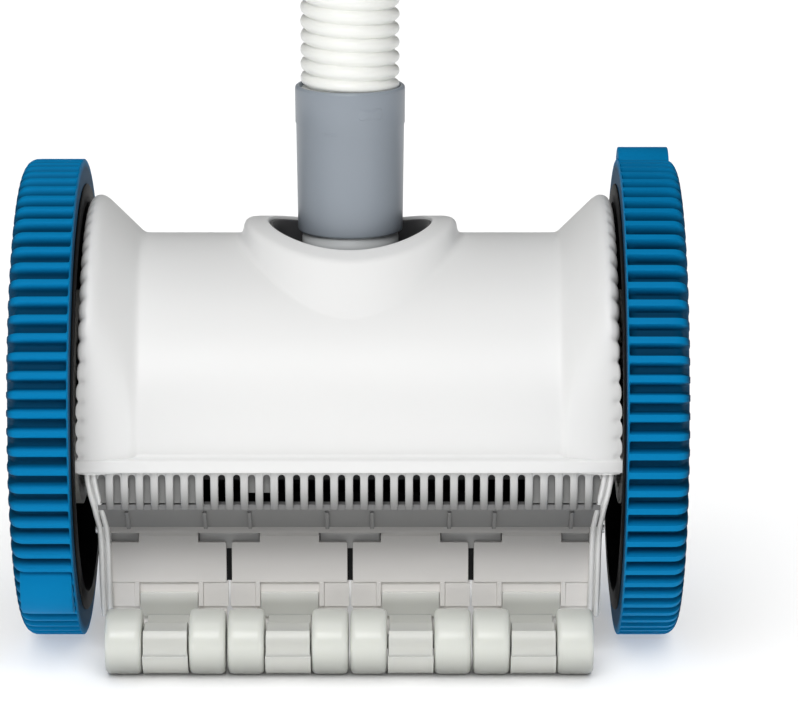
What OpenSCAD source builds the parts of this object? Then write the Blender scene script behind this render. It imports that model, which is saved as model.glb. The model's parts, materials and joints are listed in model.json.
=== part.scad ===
// Two-wheel suction pool cleaner.
// X runs across the cleaner, -Y is its front, +Z is up.
// The origin lies on the floor, straight below the middle of the wheel axis.

/* [Wheels] */
// Radius of a tyre over its tread
tyre_r = 115; // [105:1:138]
// Width of a tyre
tyre_w = 29; // [22:0.5:36]
// Thickness of a tyre's tread and carcass
tyre_t = 15; // [10:0.5:20]
// Height of the lifting hump on each tyre
hump_h = 6; // [3:0.5:9]
// Width of the lifting hump along the axle
hump_w = 24; // [15:1:28]
// Radius of the stub axles
axle_r = 6; // [4.5:0.1:8]

/* [Body] */
// Half width of the shell, over its flared ends
body_half = 125.8; // [105:0.2:155]
// Outer radius of the barrel
barrel_r = 79.5; // [74:0.5:86]
// Outer radius of the flared ends
flare_r = 98; // [90:0.5:106]
// Length of each flare along the axis
flare_l = 28; // [20:0.5:36]
// Wall of the shell and the panels
wall = 3; // [2:0.1:4]
// Height above the floor of the shell's lower edge
lip_z = 99; // [92:0.5:104]
// How far the front lip stands out from the barrel
lip_out = 4.5; // [3:0.5:7]
// Thickness of each side plate
side_t = 6; // [4:0.5:8]

/* [Neck and hose] */
// Outer radius of the swivelling neck tube
neck_r = 22.8; // [20:0.1:26]
// Wall of the neck tube
neck_wall = 3.3; // [2:0.1:4]
// Radius of the opening in the collar
collar_open_r = 39; // [35:0.5:43]
// Outer radius of the collar at its rim
collar_r = 51; // [47:0.5:56]
// Length of the hose cuff
cuff_l = 70; // [55:1:84]
// Wall of the hose cuff
cuff_wall = 2.1; // [1.5:0.1:3]
// Outer radius of the hose
hose_r = 23.6; // [20:0.1:25]

/* [Grille] */
// Number of slats
slats = 33; // [21:2:37]
// Distance from slat to slat
slat_pitch = 7; // [6:0.1:8]
// Width of a slat
slat_w = 3.6; // [2:0.1:4.5]

/* [Wings and rollers] */
// Radius of the front rollers
roller_r = 15.4; // [13:0.1:17]
// Length of one roller
roller_l = 17.4; // [14:0.1:19]
// Distance between neighbouring wings
wing_pitch = 57.6; // [57:0.1:58.6]
// Width of a wing plate
wing_w = 54.8; // [50:0.1:55.5]
// Radius of the hinge rods
rod_r = 2; // [1.5:0.1:2.5]

/* [Drive] */
// Tooth size of the first gear pair
first_module = 1.2; // [1:0.05:1.4]
// Teeth on each pinion
pinion_teeth = 10; // [10:1:12]
// Teeth on the counter gear and on the drive ring
gear_teeth = 50; // [48:1:56]
// Radius of the drive shafts
shaft_r = 3; // [2.5:0.1:3.3]
// Inner radius of the turbine chamber
chamber_r = 48; // [44:0.5:50]
// Half length of the turbine chamber
chamber_half = 60; // [50:1:66]
// Number of turbine vanes
vanes = 6; // [4:1:8]

/* [Hidden] */
$fn = 64;

white = [0.93, 0.93, 0.92];
soft_white = [0.82, 0.83, 0.80];
wing_grey = [0.72, 0.71, 0.70];
panel_grey = [0.42, 0.42, 0.42];
cuff_grey = [0.58, 0.61, 0.65];
black = [0.08, 0.08, 0.09];
blue = [0.02, 0.43, 0.64];
steel = [0.70, 0.71, 0.72];

// Clearances, each measured on the radius or across one gap
run_gap = 0.06;
end_gap = 0.4;
body_gap = 1;
eps = 0.01;

// Wheels
axle_z = tyre_r;
hub_x = body_half + body_gap;
flange_t = 1.2;
tyre_x0 = hub_x + flange_t;
tyre_x1 = tyre_x0 + tyre_w;
rim_r = tyre_r - tyre_t;
rim_wall = 6;
flange_r = rim_r + 3;
bush_wall = 3;
barrel_wall = 6;
web_x = tyre_x1 - 15;
web_t = 4;
axle_end = tyre_x1 - 6.5;
cap_r = 22;
cap_wall = 2;
screw_head_r = 7;
hump_r = 18;
hump_up_left = -40.5;
hump_up_right = 104.5;

// Barrel shell
flare_x = body_half - flare_l;
lip_h = 6.2;
front_cut = -barrel_r - lip_out - 3;

// Collar and neck
collar_base_r = collar_r + 9;
collar_top_r = barrel_r + 8;
neck_bore = neck_r - neck_wall;
duct_wall = 3;
duct_r = neck_bore + 4.5;
duct_flange_r = collar_open_r - 5;
flange_h = 3;
seat_z = axle_z + barrel_r - 19.5;
seal_h = 2;
neck_flange_r = neck_r + 6.2;
flange_z0 = seat_z + seal_h + 0.1;
flange_z1 = flange_z0 + flange_h;
liner_r = collar_open_r - 0.3;
liner_wall = 2;
neck_top = seat_z + 65;
cuff_z = axle_z + barrel_r + 3.5;
cuff_r = neck_r + run_gap + cuff_wall;
cuff_flare = 1.2;
cuff_top = cuff_z + cuff_l;
hose_seat = 10;
hose_bore = hose_r - 4.5;
hose_gap = 0.4;
cuff_top_r = max(cuff_r + cuff_flare, hose_r + hose_gap + cuff_wall);

// Route of the hose's centre line: up out of the cuff, over in one wide arch and down behind
hose_points = [
    [0, 0, 258], [0, 0, 290], [0, 0, 330], [0, 6, 380], [0, 26, 426], [-1, 56, 466],
    [-2, 96, 496], [-2, 142, 516], [-3, 192, 522], [-3, 242, 516], [-4, 288, 496],
    [-4, 328, 466], [-5, 358, 426], [-5, 378, 380], [-5, 384, 330], [-5, 384, 270],
    [-5, 384, 210], [-5, 384, 150], [-5, 384, 90], [-5, 384, 40], [-5, 384, 12]
];
hose_sides = 12;
end_cuff_l = 70;

// Side plates, panels and grille
side_x1 = body_half - 1.8;
side_x0 = side_x1 - side_t;
inner_x = side_x0 - 0.1;
plate_r = barrel_r - wall - 0.3;
deck_h = 4;
screw_r = 1.2;
deck_z = lip_z - 6;
deck_half = sqrt(pow(barrel_r - wall, 2) - pow(axle_z - deck_z, 2)) - 0.4;
throat_x = chamber_half - 6;
throat_y = 30;
front_y = -(barrel_r + 1.5);
grille_z0 = lip_z - 17.5;
grille_bottom_y = front_y + 5;
wing_y = -48;
wing_z = 62;
wing_t = 3;
knuckle_r = rod_r + 2;
rear_y = 50;
rear_z = 58;
skirt_z = 20;

// Wings and rollers
roller_y = -78;
roller_z = roller_r;
roller_round = 2.2;
saddle_w = wing_pitch - 2 * roller_l - 1.4;
roller_gap = 0.3;
roller_axle_r = 3.5;
tongue_w = 29;
wing_low = 8;
bracket_z = 20;
pocket = 2;
wing_top = 56.2;
bracket_w = 28;
ledge_z = 31.3;
step_z = 36.3;

// Drive
pressure = 25;
backlash = 0.24;
counter_d = first_module * (gear_teeth + pinion_teeth) / 2;
ring_module = 2 * counter_d / (gear_teeth - pinion_teeth);
gear_dir = 45;
counter_y = counter_d * cos(gear_dir);
counter_z = counter_d * sin(gear_dir);
ring_pitch_r = ring_module * gear_teeth / 2;
ring_out_r = ring_pitch_r + ring_module * 1.25 + 4.5;
ring_x0 = tyre_x0 + 1.5;
pinion_x0 = ring_x0 + 1;
pinion_w = 9;
first_x0 = side_x0 - 26;
first_w = 8;
boss_x0 = first_x0 + first_w + 3;
boss_r = axle_r + 3;
pilot_end = side_x0 - 2;
end_t = 4;
bush_r = shaft_r + 3;
bush_l = 6;
chamber_wall = 3;
// The base plate meets the chamber this far above its lowest line
base_rise = 4;
base_z = axle_z - chamber_r - chamber_wall + base_rise;
rotor_r = 12;
vane_tip_r = chamber_r - 3;
rotor_half = chamber_half - 3;
dog_x = chamber_half + 10;
dog_r = 9;

// ---------- helpers ----------

// A solid drawn in the Y-Z plane and drawn out along X
module along_x(x0, x1) {
    translate([x0, 0, 0]) rotate([90, 0, 90]) linear_extrude(x1 - x0) children();
}

module rod_x(r, x0, x1, y = 0, z = 0) {
    translate([x0, y, z]) rotate([0, 90, 0]) cylinder(r = r, h = x1 - x0);
}

module tube_x(r_out, r_in, x0, x1, y = 0, z = 0) {
    difference() {
        rod_x(r_out, x0, x1, y, z);
        rod_x(r_in, x0 - 1, x1 + 1, y, z);
    }
}

// A solid of revolution about X, from [x, r] points
module turned(points) {
    rotate([0, 90, 0]) rotate_extrude() polygon([for (p = points) [p[1], p[0]]]);
}

module at_axle() {
    translate([0, 0, axle_z]) children();
}

// Draws its child on the right, or mirrored on the left
module on_side(left) {
    if (left) mirror([1, 0, 0]) children();
    else children();
}

module both_sides() {
    children();
    mirror([1, 0, 0]) children();
}

function polar(r, a) = [r * cos(a), r * sin(a)];
function arc(cx, cy, r, a0, a1, n) =
    [for (i = [0 : n]) [cx + r * cos(a0 + (a1 - a0) * i / n), cy + r * sin(a0 + (a1 - a0) * i / n)]];

// Involute teeth: half the angle of a tooth at radius r
function involute(a) = tan(a) * 180 / PI - a;
function half_tooth(r, m, n) =
    let (base = m * n / 2 * cos(pressure))
    90 / n + involute(pressure) - involute(r > base ? acos(base / r) : 0);
function half_play(m, n) = backlash / 2 / (m * n) * 180 / PI * 2;

function gear_outline(m, n, tip, root, phase) =
    let (pitch = m * n / 2, base = max(pitch * cos(pressure), root + 0.1), play = half_play(m, n))
    [for (i = [0 : n - 1], k = [0 : 7])
        let (
            r = [root, base, (pitch + base) / 2, tip, tip, (pitch + base) / 2, base, root][k],
            side = k < 4 ? -1 : 1,
            half = (r <= base ? half_tooth(base, m, n) * (r < base ? 0.82 : 1)
                : half_tooth(r, m, n)) - play
        )
        polar(r, phase + 360 * i / n + side * half)];

// The space inside an internal gear
function ring_space(m, n, phase) =
    let (pitch = m * n / 2, inner = pitch - 0.75 * m, outer = pitch + 1.2 * m, play = half_play(m, n))
    [for (i = [0 : n - 1], k = [0 : 5])
        let (
            r = [inner, pitch, outer, outer, pitch, inner][k],
            side = k < 3 ? -1 : 1
        )
        polar(r, phase + 360 * i / n + side * (half_tooth(r, m, n) + play))];

module gear_blank(m, n, x0, x1, phase) {
    along_x(x0, x1) polygon(gear_outline(m, n, m * n / 2 + 0.85 * m, m * n / 2 - 1.2 * m, phase));
}

module external_gear(m, n, x0, x1, bore, phase) {
    difference() {
        gear_blank(m, n, x0, x1, phase);
        rod_x(bore, x0 - 1, x1 + 1);
    }
}

// ---------- shell and panels ----------

function shell_outside() = concat(
    [[-body_half, flare_r - 5]],
    [[-body_half + 2.3, flare_r - 1.5], [-body_half + 5.3, flare_r], [-body_half + 7.3, flare_r - 0.5]],
    [[-flare_x, barrel_r], [flare_x, barrel_r]],
    [[body_half - 7.3, flare_r - 0.5], [body_half - 5.3, flare_r], [body_half - 2.3, flare_r - 1.5]],
    [[body_half, flare_r - 5]]
);

function shell_inside() = [
    [body_half, flare_r - 8], [body_half - 3, flare_r - 6.5], [body_half - 6.5, flare_r - 3.4],
    [flare_x - 1.2, barrel_r - wall], [-flare_x + 1.2, barrel_r - wall],
    [-body_half + 6.5, flare_r - 3.4], [-body_half + 3, flare_r - 6.5], [-body_half, flare_r - 8]
];

module collar_solid(shrink) {
    intersection() {
        translate([0, 0, barrel_r - 32])
            cylinder(r1 = collar_base_r - shrink, r2 = collar_r - shrink, h = 42);
        rod_x(collar_top_r - shrink, -collar_base_r, collar_base_r);
    }
}

module upper_shell() {
    color(white) difference() {
        union() {
            intersection() {
                at_axle() difference() {
                    union() {
                        turned(concat(shell_outside(), shell_inside()));
                        difference() {
                            collar_solid(0);
                            rod_x(barrel_r - wall, -body_half, body_half);
                        }
                    }
                    difference() {
                        collar_solid(wall);
                        rod_x(barrel_r - wall - 1, -body_half, body_half);
                    }
                }
                translate([-body_half - 1, front_cut, lip_z])
                    cube([2 * body_half + 2, flare_r - front_cut + 1, 300]);
            }
            along_x(-body_half, body_half) polygon([
                [front_y + 4.5, lip_z], [-barrel_r - lip_out + 1, lip_z], [-barrel_r - lip_out, lip_z + 1],
                [-barrel_r - lip_out, lip_z + lip_h - 1], [-barrel_r - lip_out + 1, lip_z + lip_h],
                [front_y + 4.5, lip_z + lip_h]
            ]);
        }
        translate([0, 0, axle_z + barrel_r - 40]) cylinder(r = collar_open_r, h = 80);
    }
}

// Outline of a side plate, seen along X
function side_outline(inset) = concat(
    arc(0, axle_z, plate_r, 192, -12, 48),
    [[barrel_r - 2, lip_z - 1], [barrel_r - 4, lip_z - 16], [rear_y + 18, rear_z + 10]],
    [[rear_y + 8, rear_z], [rear_y + 6, skirt_z + 8], [rear_y + 2, skirt_z]],
    [[wing_y - 1 + inset, skirt_z], [wing_y - 5 + inset, skirt_z + 3], [wing_y - 6.5 + inset, skirt_z + 12]],
    [[wing_y - 7 + inset, wing_z - 6], [wing_y - 12 + inset, wing_z + 3], [wing_y - 21 + inset, wing_z + 11]],
    [[grille_bottom_y - 1 + inset, grille_z0], [front_y + inset, lip_z - 8], [front_y + inset, lip_z - 0.5]]
);

module side_plate() {
    color(white) difference() {
        union() {
            along_x(side_x0, side_x0 + side_t * 0.38) polygon(side_outline(1.5));
            along_x(side_x0 + side_t * 0.38 - eps, side_x0 + side_t * 0.62) polygon(side_outline(4));
            along_x(side_x0 + side_t * 0.62 - eps, side_x1) polygon(side_outline(0));
            at_axle() rod_x(boss_r + 4, side_x0 - 4, side_x1);
            at_axle() rod_x(bush_r + 2, side_x0 - 3, side_x1, counter_y, counter_z);
        }
        at_axle() rod_x(axle_r, side_x0 - 9, side_x1 + 1);
        at_axle() rod_x(boss_r, side_x0 - 9, side_x0);
        at_axle() rod_x(bush_r, side_x0 - 9, side_x1 + 1, counter_y, counter_z);
        rod_x(rod_r, side_x0 - 1, side_x0 + side_t / 2, wing_y, wing_z);
        rod_x(rod_r, side_x0 - 1, side_x0 + side_t / 2, rear_y, rear_z);
    }
}

module side_plate_left() {
    on_side(true) side_plate();
}

module side_plate_right() {
    on_side(false) side_plate();
}

module slat() {
    along_x(-slat_w / 2, slat_w / 2) polygon([
        [front_y + 3, lip_z - 2], [front_y, lip_z - 2], [front_y, lip_z - 9],
        [front_y + 1.2, grille_z0 + 4], [front_y + 3.6, grille_z0], [front_y + 6.4, grille_z0],
        [front_y + 4.4, grille_z0 + 4], [front_y + 3, lip_z - 9]
    ]);
}

module front_grille() {
    color(white) {
        for (i = [0 : slats - 1]) translate([(i - (slats - 1) / 2) * slat_pitch, 0, 0]) slat();
        translate([-inner_x, front_y + 0.6, lip_z - 3]) cube([2 * inner_x, 3.4, 3]);
        along_x(-inner_x, inner_x) polygon([
            [front_y + 4.4, grille_z0], [front_y + 8, grille_z0],
            [front_y + 7, grille_z0 + 2.5], [front_y + 3.6, grille_z0 + 2.5]
        ]);
        for (s = [-1, 1]) translate([s < 0 ? -inner_x : inner_x - 34, front_y + 2.6, lip_z - 15])
            cube([34, 1.6, 13]);
    }
}

// The sloping underside panel that carries the wings' hinge rod
module intake_panel() {
    color(panel_grey) difference() {
        union() {
            along_x(-inner_x, inner_x) polygon([
                [front_y + 4.4, grille_z0], [wing_y - 2, wing_z + knuckle_r + 1],
                [wing_y + 6, wing_z + knuckle_r + 1], [wing_y + 6, wing_z + knuckle_r + 3.5],
                [wing_y, wing_z + knuckle_r + 4.5], [front_y + 8, grille_z0]
            ]);
            for (i = [-2 : 2]) wing_support(i * wing_pitch);
        }
        rod_x(rod_r, -inner_x - 1, inner_x + 1, wing_y, wing_z);
    }
}

// The fixed hinge knuckle between two wings' tongues
module wing_support(x) {
    x0 = max(x - (wing_pitch - tongue_w) / 2 + 0.6, -inner_x);
    x1 = min(x + (wing_pitch - tongue_w) / 2 - 0.6, inner_x);
    rod_x(knuckle_r - 0.4, x0, x1, wing_y, wing_z);
    translate([x0, wing_y - 1.5, wing_z]) cube([x1 - x0, 5, knuckle_r + 2.5]);
}

module deck_plate() {
    color(black) difference() {
        translate([-inner_x, -deck_half, deck_z]) cube([2 * inner_x, 2 * deck_half, deck_h]);
        at_axle() rod_x(chamber_r + chamber_wall, -chamber_half - end_t, chamber_half + end_t);
        for (x = screw_places()) translate([x, deck_half + 1, deck_z + deck_h / 2])
            rotate([90, 0, 0]) cylinder(r = screw_r, h = 16);
    }
}

function screw_places() = [-0.82 * inner_x, -0.3 * inner_x, 0.3 * inner_x, 0.82 * inner_x];

module base_plate() {
    color(black) difference() {
        translate([-inner_x, wing_y + 7, base_z]) cube([2 * inner_x, rear_y - wing_y - 8, 3]);
        translate([-throat_x - wall, -throat_y - wall, 0])
            cube([2 * (throat_x + wall), 2 * (throat_y + wall), 200]);
        at_axle() rod_x(chamber_r + chamber_wall, -chamber_half - end_t, chamber_half + end_t);
    }
}

module intake_throat() {
    color(black) difference() {
        translate([-throat_x - wall, -throat_y - wall, base_z])
            cube([2 * (throat_x + wall), 2 * (throat_y + wall), axle_z - base_z]);
        translate([-throat_x, -throat_y, 0]) cube([2 * throat_x, 2 * throat_y, 300]);
        at_axle() rod_x(chamber_r + chamber_wall, -chamber_half - 1, chamber_half + 1);
        translate([-body_half, -barrel_r, deck_z]) cube([2 * body_half, 2 * barrel_r, 100]);
    }
}

module turbine_chamber() {
    color(black) difference() {
        at_axle() tube_x(chamber_r + chamber_wall, chamber_r, -chamber_half, chamber_half);
        translate([-throat_x, -throat_y, 0]) cube([2 * throat_x, 2 * throat_y, axle_z - 20]);
        at_axle() cylinder(r = duct_r, h = 100);
    }
}

module chamber_end() {
    at_axle() difference() {
        rod_x(chamber_r + chamber_wall, chamber_half, chamber_half + end_t);
        rod_x(bush_r, chamber_half - 1, chamber_half + end_t + 1);
        rod_x(bush_r, chamber_half - 1, chamber_half + end_t + 1, counter_y, counter_z);
    }
}

module chamber_ends() {
    color(black) both_sides() chamber_end();
}

module shaft_bushes() {
    color(steel) at_axle() both_sides() {
        tube_x(bush_r, shaft_r + run_gap, chamber_half, chamber_half + bush_l);
        tube_x(bush_r, shaft_r + run_gap, chamber_half, chamber_half + bush_l, counter_y, counter_z);
        tube_x(bush_r, shaft_r + run_gap, side_x0 - 3, side_x1 + 0.6, counter_y, counter_z);
    }
}

module outlet_duct() {
    color(black) difference() {
        union() {
            translate([0, 0, axle_z]) cylinder(r = duct_r + duct_wall, h = seat_z - axle_z);
            translate([0, 0, seat_z - flange_h]) cylinder(r = duct_flange_r, h = flange_h);
        }
        translate([0, 0, axle_z - 1]) cylinder(r = duct_r, h = 200);
        at_axle() rod_x(chamber_r + chamber_wall, -chamber_half, chamber_half);
    }
}

module neck_seal() {
    color(black) translate([0, 0, seat_z]) difference() {
        cylinder(r = neck_flange_r, h = seal_h);
        translate([0, 0, -1]) cylinder(r = duct_r, h = seal_h + 2);
    }
}

module neck_liner() {
    color(panel_grey) intersection() {
        rotate_extrude() polygon([
            [neck_flange_r + 0.5, seat_z], [liner_r, seat_z], [liner_r, axle_z + collar_top_r],
            [liner_r - liner_wall, axle_z + collar_top_r], [liner_r - liner_wall, flange_z1 + 3.1],
            [neck_r + 0.4, flange_z1 + 3.1], [neck_r + 0.4, flange_z1 + 0.1],
            [neck_flange_r + 0.5, flange_z1 + 0.1]
        ]);
        at_axle() rod_x(collar_top_r - wall - 0.5, -60, 60);
    }
}

module stub_axle() {
    at_axle() difference() {
        union() {
            rod_x(axle_r, side_x0, axle_end);
            rod_x(boss_r, boss_x0, side_x0);
        }
        rod_x(shaft_r + run_gap, boss_x0 - 1, pilot_end);
    }
}

module stub_axles() {
    color(steel) both_sides() stub_axle();
}

module wheel_screws() {
    color(steel) both_sides() at_axle() {
        rod_x(axle_r + 3.5, axle_end, axle_end + 1.2);
        rod_x(screw_head_r - 1.5, axle_end + 1.2 - eps, axle_end + 3, $fn = 6);
    }
}

module wing_rod() {
    color(steel) rod_x(rod_r, -side_x0 - side_t / 2, side_x0 + side_t / 2, wing_y, wing_z);
}

module rear_rod() {
    color(steel) rod_x(rod_r, -side_x0 - side_t / 2, side_x0 + side_t / 2, rear_y, rear_z);
}

module rear_cover() {
    color(white) difference() {
        union() {
            along_x(-inner_x, inner_x) polygon([
                [barrel_r - wall - 1, lip_z], [barrel_r - 1, lip_z], [barrel_r - 3, lip_z - 16],
                [rear_y + 6, rear_z + 8], [rear_y + 1, rear_z + 8], [rear_y + 1, rear_z + 11],
                [rear_y + 5, rear_z + 11], [barrel_r - wall - 3, lip_z - 15]
            ]);
            for (x = [-1, 0, 1]) translate([x * 78, 0, 0]) rear_support();
        }
        rod_x(rod_r, -inner_x - 1, inner_x + 1, rear_y, rear_z);
        for (x = screw_places()) translate([x, barrel_r + 1, deck_z + deck_h / 2])
            rotate([90, 0, 0]) cylinder(r = screw_r + 0.4, h = 8);
    }
}

module rear_support() {
    rod_x(knuckle_r - 0.4, -8, 8, rear_y, rear_z);
    translate([-8, rear_y - 1.5, rear_z]) cube([16, 5, 10]);
}

module cover_screws() {
    color(steel) for (x = screw_places())
        translate([x, barrel_r - 1, deck_z + deck_h / 2]) rotate([90, 0, 0]) {
            cylinder(r = screw_r, h = 16);
            translate([0, 0, -1.8]) cylinder(r = 2 * screw_r + 1, h = 1.8);
        }
}

module rear_flap() {
    color(wing_grey) difference() {
        union() {
            translate([-inner_x + 1.2, rear_y - 1.5, skirt_z - 6])
                cube([2 * inner_x - 2.4, 3, rear_z - skirt_z - 1]);
            for (x = [-1, 1]) rod_x(knuckle_r, x * 39 - 28, x * 39 + 28, rear_y, rear_z);
            for (x = [-1, 1]) translate([x * 39 - 28, rear_y - 1.5, rear_z - 12]) cube([56, 3, 12]);
        }
        rod_x(rod_r + run_gap, -inner_x, inner_x, rear_y, rear_z);
    }
}

// ---------- wheels ----------

module tyre(hump_angle) {
    color(blue) at_axle() difference() {
        union() {
            turned([
                [tyre_x0, rim_r], [tyre_x1, rim_r], [tyre_x1, tyre_r - 5], [tyre_x1 - 1.4, tyre_r - 1.8],
                [tyre_x1 - 4.5, tyre_r], [tyre_x0 + 1.2, tyre_r], [tyre_x0, tyre_r - 1.2]
            ]);
            rod_x(hump_r, tyre_x0 + 1, tyre_x0 + 1 + hump_w,
                -(tyre_r + hump_h - hump_r) * cos(hump_angle),
                (tyre_r + hump_h - hump_r) * sin(hump_angle));
        }
        rod_x(rim_r, tyre_x0 - 1, tyre_x1 + 1);
    }
}

module hub() {
    color(black) at_axle() {
        tube_x(rim_r, rim_r - rim_wall, hub_x, tyre_x1 - 1);
        tube_x(flange_r, rim_r - rim_wall, hub_x, tyre_x0);
        tube_x(rim_r - rim_wall + eps, axle_r + bush_wall, web_x, web_x + web_t);
        tube_x(axle_r + bush_wall + barrel_wall, axle_r + bush_wall, tyre_x0, axle_end - end_gap);
    }
}

module drive_ring() {
    color(soft_white) at_axle() difference() {
        rod_x(ring_out_r, ring_x0, web_x);
        along_x(ring_x0 - 1, web_x + 1) polygon(ring_space(ring_module, gear_teeth, gear_dir));
    }
}

module wheel_bush() {
    color(soft_white) at_axle()
        tube_x(axle_r + bush_wall, axle_r + run_gap, tyre_x0, axle_end - end_gap);
}

module hub_cap() {
    color(black) at_axle() difference() {
        turned([
            [web_x + web_t, 0], [tyre_x1 - 2, 0], [tyre_x1 - 1, cap_r * 0.3], [tyre_x1 - 1.6, cap_r - 3],
            [tyre_x1 - 3.5, cap_r], [web_x + web_t, cap_r]
        ]);
        rod_x(cap_r - cap_wall, web_x, tyre_x1 - 3);
    }
}

module tyre_left() {
    on_side(true) tyre(hump_up_left);
}

module tyre_right() {
    on_side(false) tyre(hump_up_right);
}

module hub_left() {
    on_side(true) hub();
}

module hub_right() {
    on_side(false) hub();
}

module drive_ring_left() {
    on_side(true) drive_ring();
}

module drive_ring_right() {
    on_side(false) drive_ring();
}

module wheel_bush_left() {
    on_side(true) wheel_bush();
}

module wheel_bush_right() {
    on_side(false) wheel_bush();
}

module hub_cap_left() {
    on_side(true) hub_cap();
}

module hub_cap_right() {
    on_side(false) hub_cap();
}

// ---------- drive ----------

module turbine_shaft() {
    color(steel) at_axle() {
        rod_x(shaft_r, -pilot_end + 1, dog_x + 1);
        rod_x(dog_r, dog_x, dog_x + 4);
        dogs(dog_x + 4 - eps, dog_x + 7, 0);
    }
}

module dogs(x0, x1, phase) {
    for (i = [0 : 2]) rod_x(1.8, x0, x1,
        (dog_r - 2.5) * cos(120 * i + phase), (dog_r - 2.5) * sin(120 * i + phase));
}

module turbine_rotor() {
    color(soft_white) at_axle() tube_x(rotor_r, shaft_r, -rotor_half, rotor_half);
}

// One curved vane, from the rotor's hub to its tip
function vane_outline() =
    let (bend = 34, thick = 3, n = 8)
    concat(
        [for (i = [0 : n]) let (t = i / n) polar(rotor_r - 1.5 + (vane_tip_r - rotor_r + 1.5) * t, bend * t * t)],
        [for (i = [n : -1 : 0]) let (t = i / n, r = rotor_r - 1.5 + (vane_tip_r - rotor_r + 1.5) * t)
            polar(r, bend * t * t + thick / r * 180 / PI)]
    );

module turbine_vanes() {
    color(wing_grey) at_axle() difference() {
        for (i = [0 : vanes - 1]) along_x(-rotor_half + 1, rotor_half - 1)
            rotate(360 * i / vanes) polygon(vane_outline());
        rod_x(rotor_r, -rotor_half - 1, rotor_half + 1);
    }
}

module first_pinion() {
    external_gear(first_module, pinion_teeth, first_x0, first_x0 + first_w, shaft_r, gear_dir);
}

module turbine_pinion() {
    color(soft_white) at_axle() on_side(true) first_pinion();
}

// The right pinion runs on its own short shaft, next to the turbine shaft's dogs
module clutch_pinion() {
    color(soft_white) at_axle() {
        gear_blank(first_module, pinion_teeth, first_x0, first_x0 + first_w, gear_dir);
        rod_x(shaft_r, dog_x + 11, pilot_end - 1);
        rod_x(dog_r, dog_x + 11, dog_x + 15);
        dogs(dog_x + 8.2, dog_x + 11 + eps, 60);
    }
}

module at_counter() {
    translate([0, counter_y, axle_z + counter_z]) children();
}

module counter_shaft() {
    color(steel) at_counter() rod_x(shaft_r, chamber_half + 1, pinion_x0 + pinion_w);
}

module counter_gear() {
    color(soft_white) at_counter() external_gear(first_module, gear_teeth, first_x0 + 1,
        first_x0 + first_w - 1, shaft_r, gear_dir + 180 + 180 / gear_teeth);
}

module drive_pinion() {
    color(soft_white) at_counter() external_gear(ring_module, pinion_teeth, pinion_x0,
        pinion_x0 + pinion_w, shaft_r, gear_dir);
}

module counter_shaft_left() {
    on_side(true) counter_shaft();
}

module counter_shaft_right() {
    on_side(false) counter_shaft();
}

module counter_gear_left() {
    on_side(true) counter_gear();
}

module counter_gear_right() {
    on_side(false) counter_gear();
}

module drive_pinion_left() {
    on_side(true) drive_pinion();
}

module drive_pinion_right() {
    on_side(false) drive_pinion();
}

// ---------- neck and hose ----------

module neck_tube() {
    color(wing_grey) difference() {
        union() {
            translate([0, 0, flange_z0]) cylinder(r = neck_r, h = neck_top - flange_z0);
            translate([0, 0, flange_z0]) cylinder(r = neck_flange_r, h = flange_h);
        }
        translate([0, 0, flange_z0 - 1]) cylinder(r = neck_bore, h = neck_top);
    }
}

module hose_cuff() {
    color(cuff_grey) rotate_extrude() polygon([
        [neck_r, cuff_z], [cuff_r - 1, cuff_z], [cuff_r, cuff_z + 1.2], [cuff_top_r, cuff_top - 1],
        [cuff_top_r - 0.8, cuff_top], [hose_r + hose_gap, cuff_top],
        [hose_r + hose_gap, cuff_top - hose_seat], [neck_bore + 1, cuff_top - hose_seat],
        [neck_bore + 1, neck_top], [neck_r, neck_top]
    ]);
}

// A hollow tube swept along the route, as one closed surface
module hose() {
    n = len(hose_points);
    function way(i) =
        let (d = hose_points[min(i + 1, n - 1)] - hose_points[max(i - 1, 0)]) d / norm(d);
    function ring(i, r) =
        let (u = [1, 0, 0], w = way(i), v = cross(w, u), vn = v / norm(v), un = cross(vn, w))
        [for (k = [0 : hose_sides - 1]) hose_points[i]
            + r * (cos(360 * k / hose_sides) * un + sin(360 * k / hose_sides) * vn)];
    outer = [for (i = [0 : n - 1]) each ring(i, hose_r)];
    inner = [for (i = [0 : n - 1]) each ring(i, hose_bore)];
    m = n * hose_sides;
    function next(k) = (k + 1) % hose_sides;
    faces = concat(
        [for (i = [0 : n - 2], k = [0 : hose_sides - 1]) [i * hose_sides + k,
            i * hose_sides + next(k), (i + 1) * hose_sides + next(k), (i + 1) * hose_sides + k]],
        [for (i = [0 : n - 2], k = [0 : hose_sides - 1]) [m + i * hose_sides + next(k),
            m + i * hose_sides + k, m + (i + 1) * hose_sides + k, m + (i + 1) * hose_sides + next(k)]],
        [for (k = [0 : hose_sides - 1]) [k, m + k, m + next(k), next(k)]],
        [for (k = [0 : hose_sides - 1]) [m - hose_sides + next(k), 2 * m - hose_sides + next(k),
            2 * m - hose_sides + k, m - hose_sides + k]]
    );
    color(white) polyhedron(points = concat(outer, inner), faces = faces);
}

module hose_end_cuff() {
    end = hose_points[len(hose_points) - 1];
    color(cuff_grey) translate([end[0], end[1], 0]) rotate_extrude() polygon([
        [hose_bore, 0], [cuff_r, 0], [cuff_top_r, 2], [cuff_top_r, end_cuff_l],
        [hose_r + hose_gap, end_cuff_l], [hose_r + hose_gap, end[2]], [hose_bore, end[2]]
    ]);
}

// ---------- wings ----------

function wing_x(i) = (i - 2.5) * wing_pitch;

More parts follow.
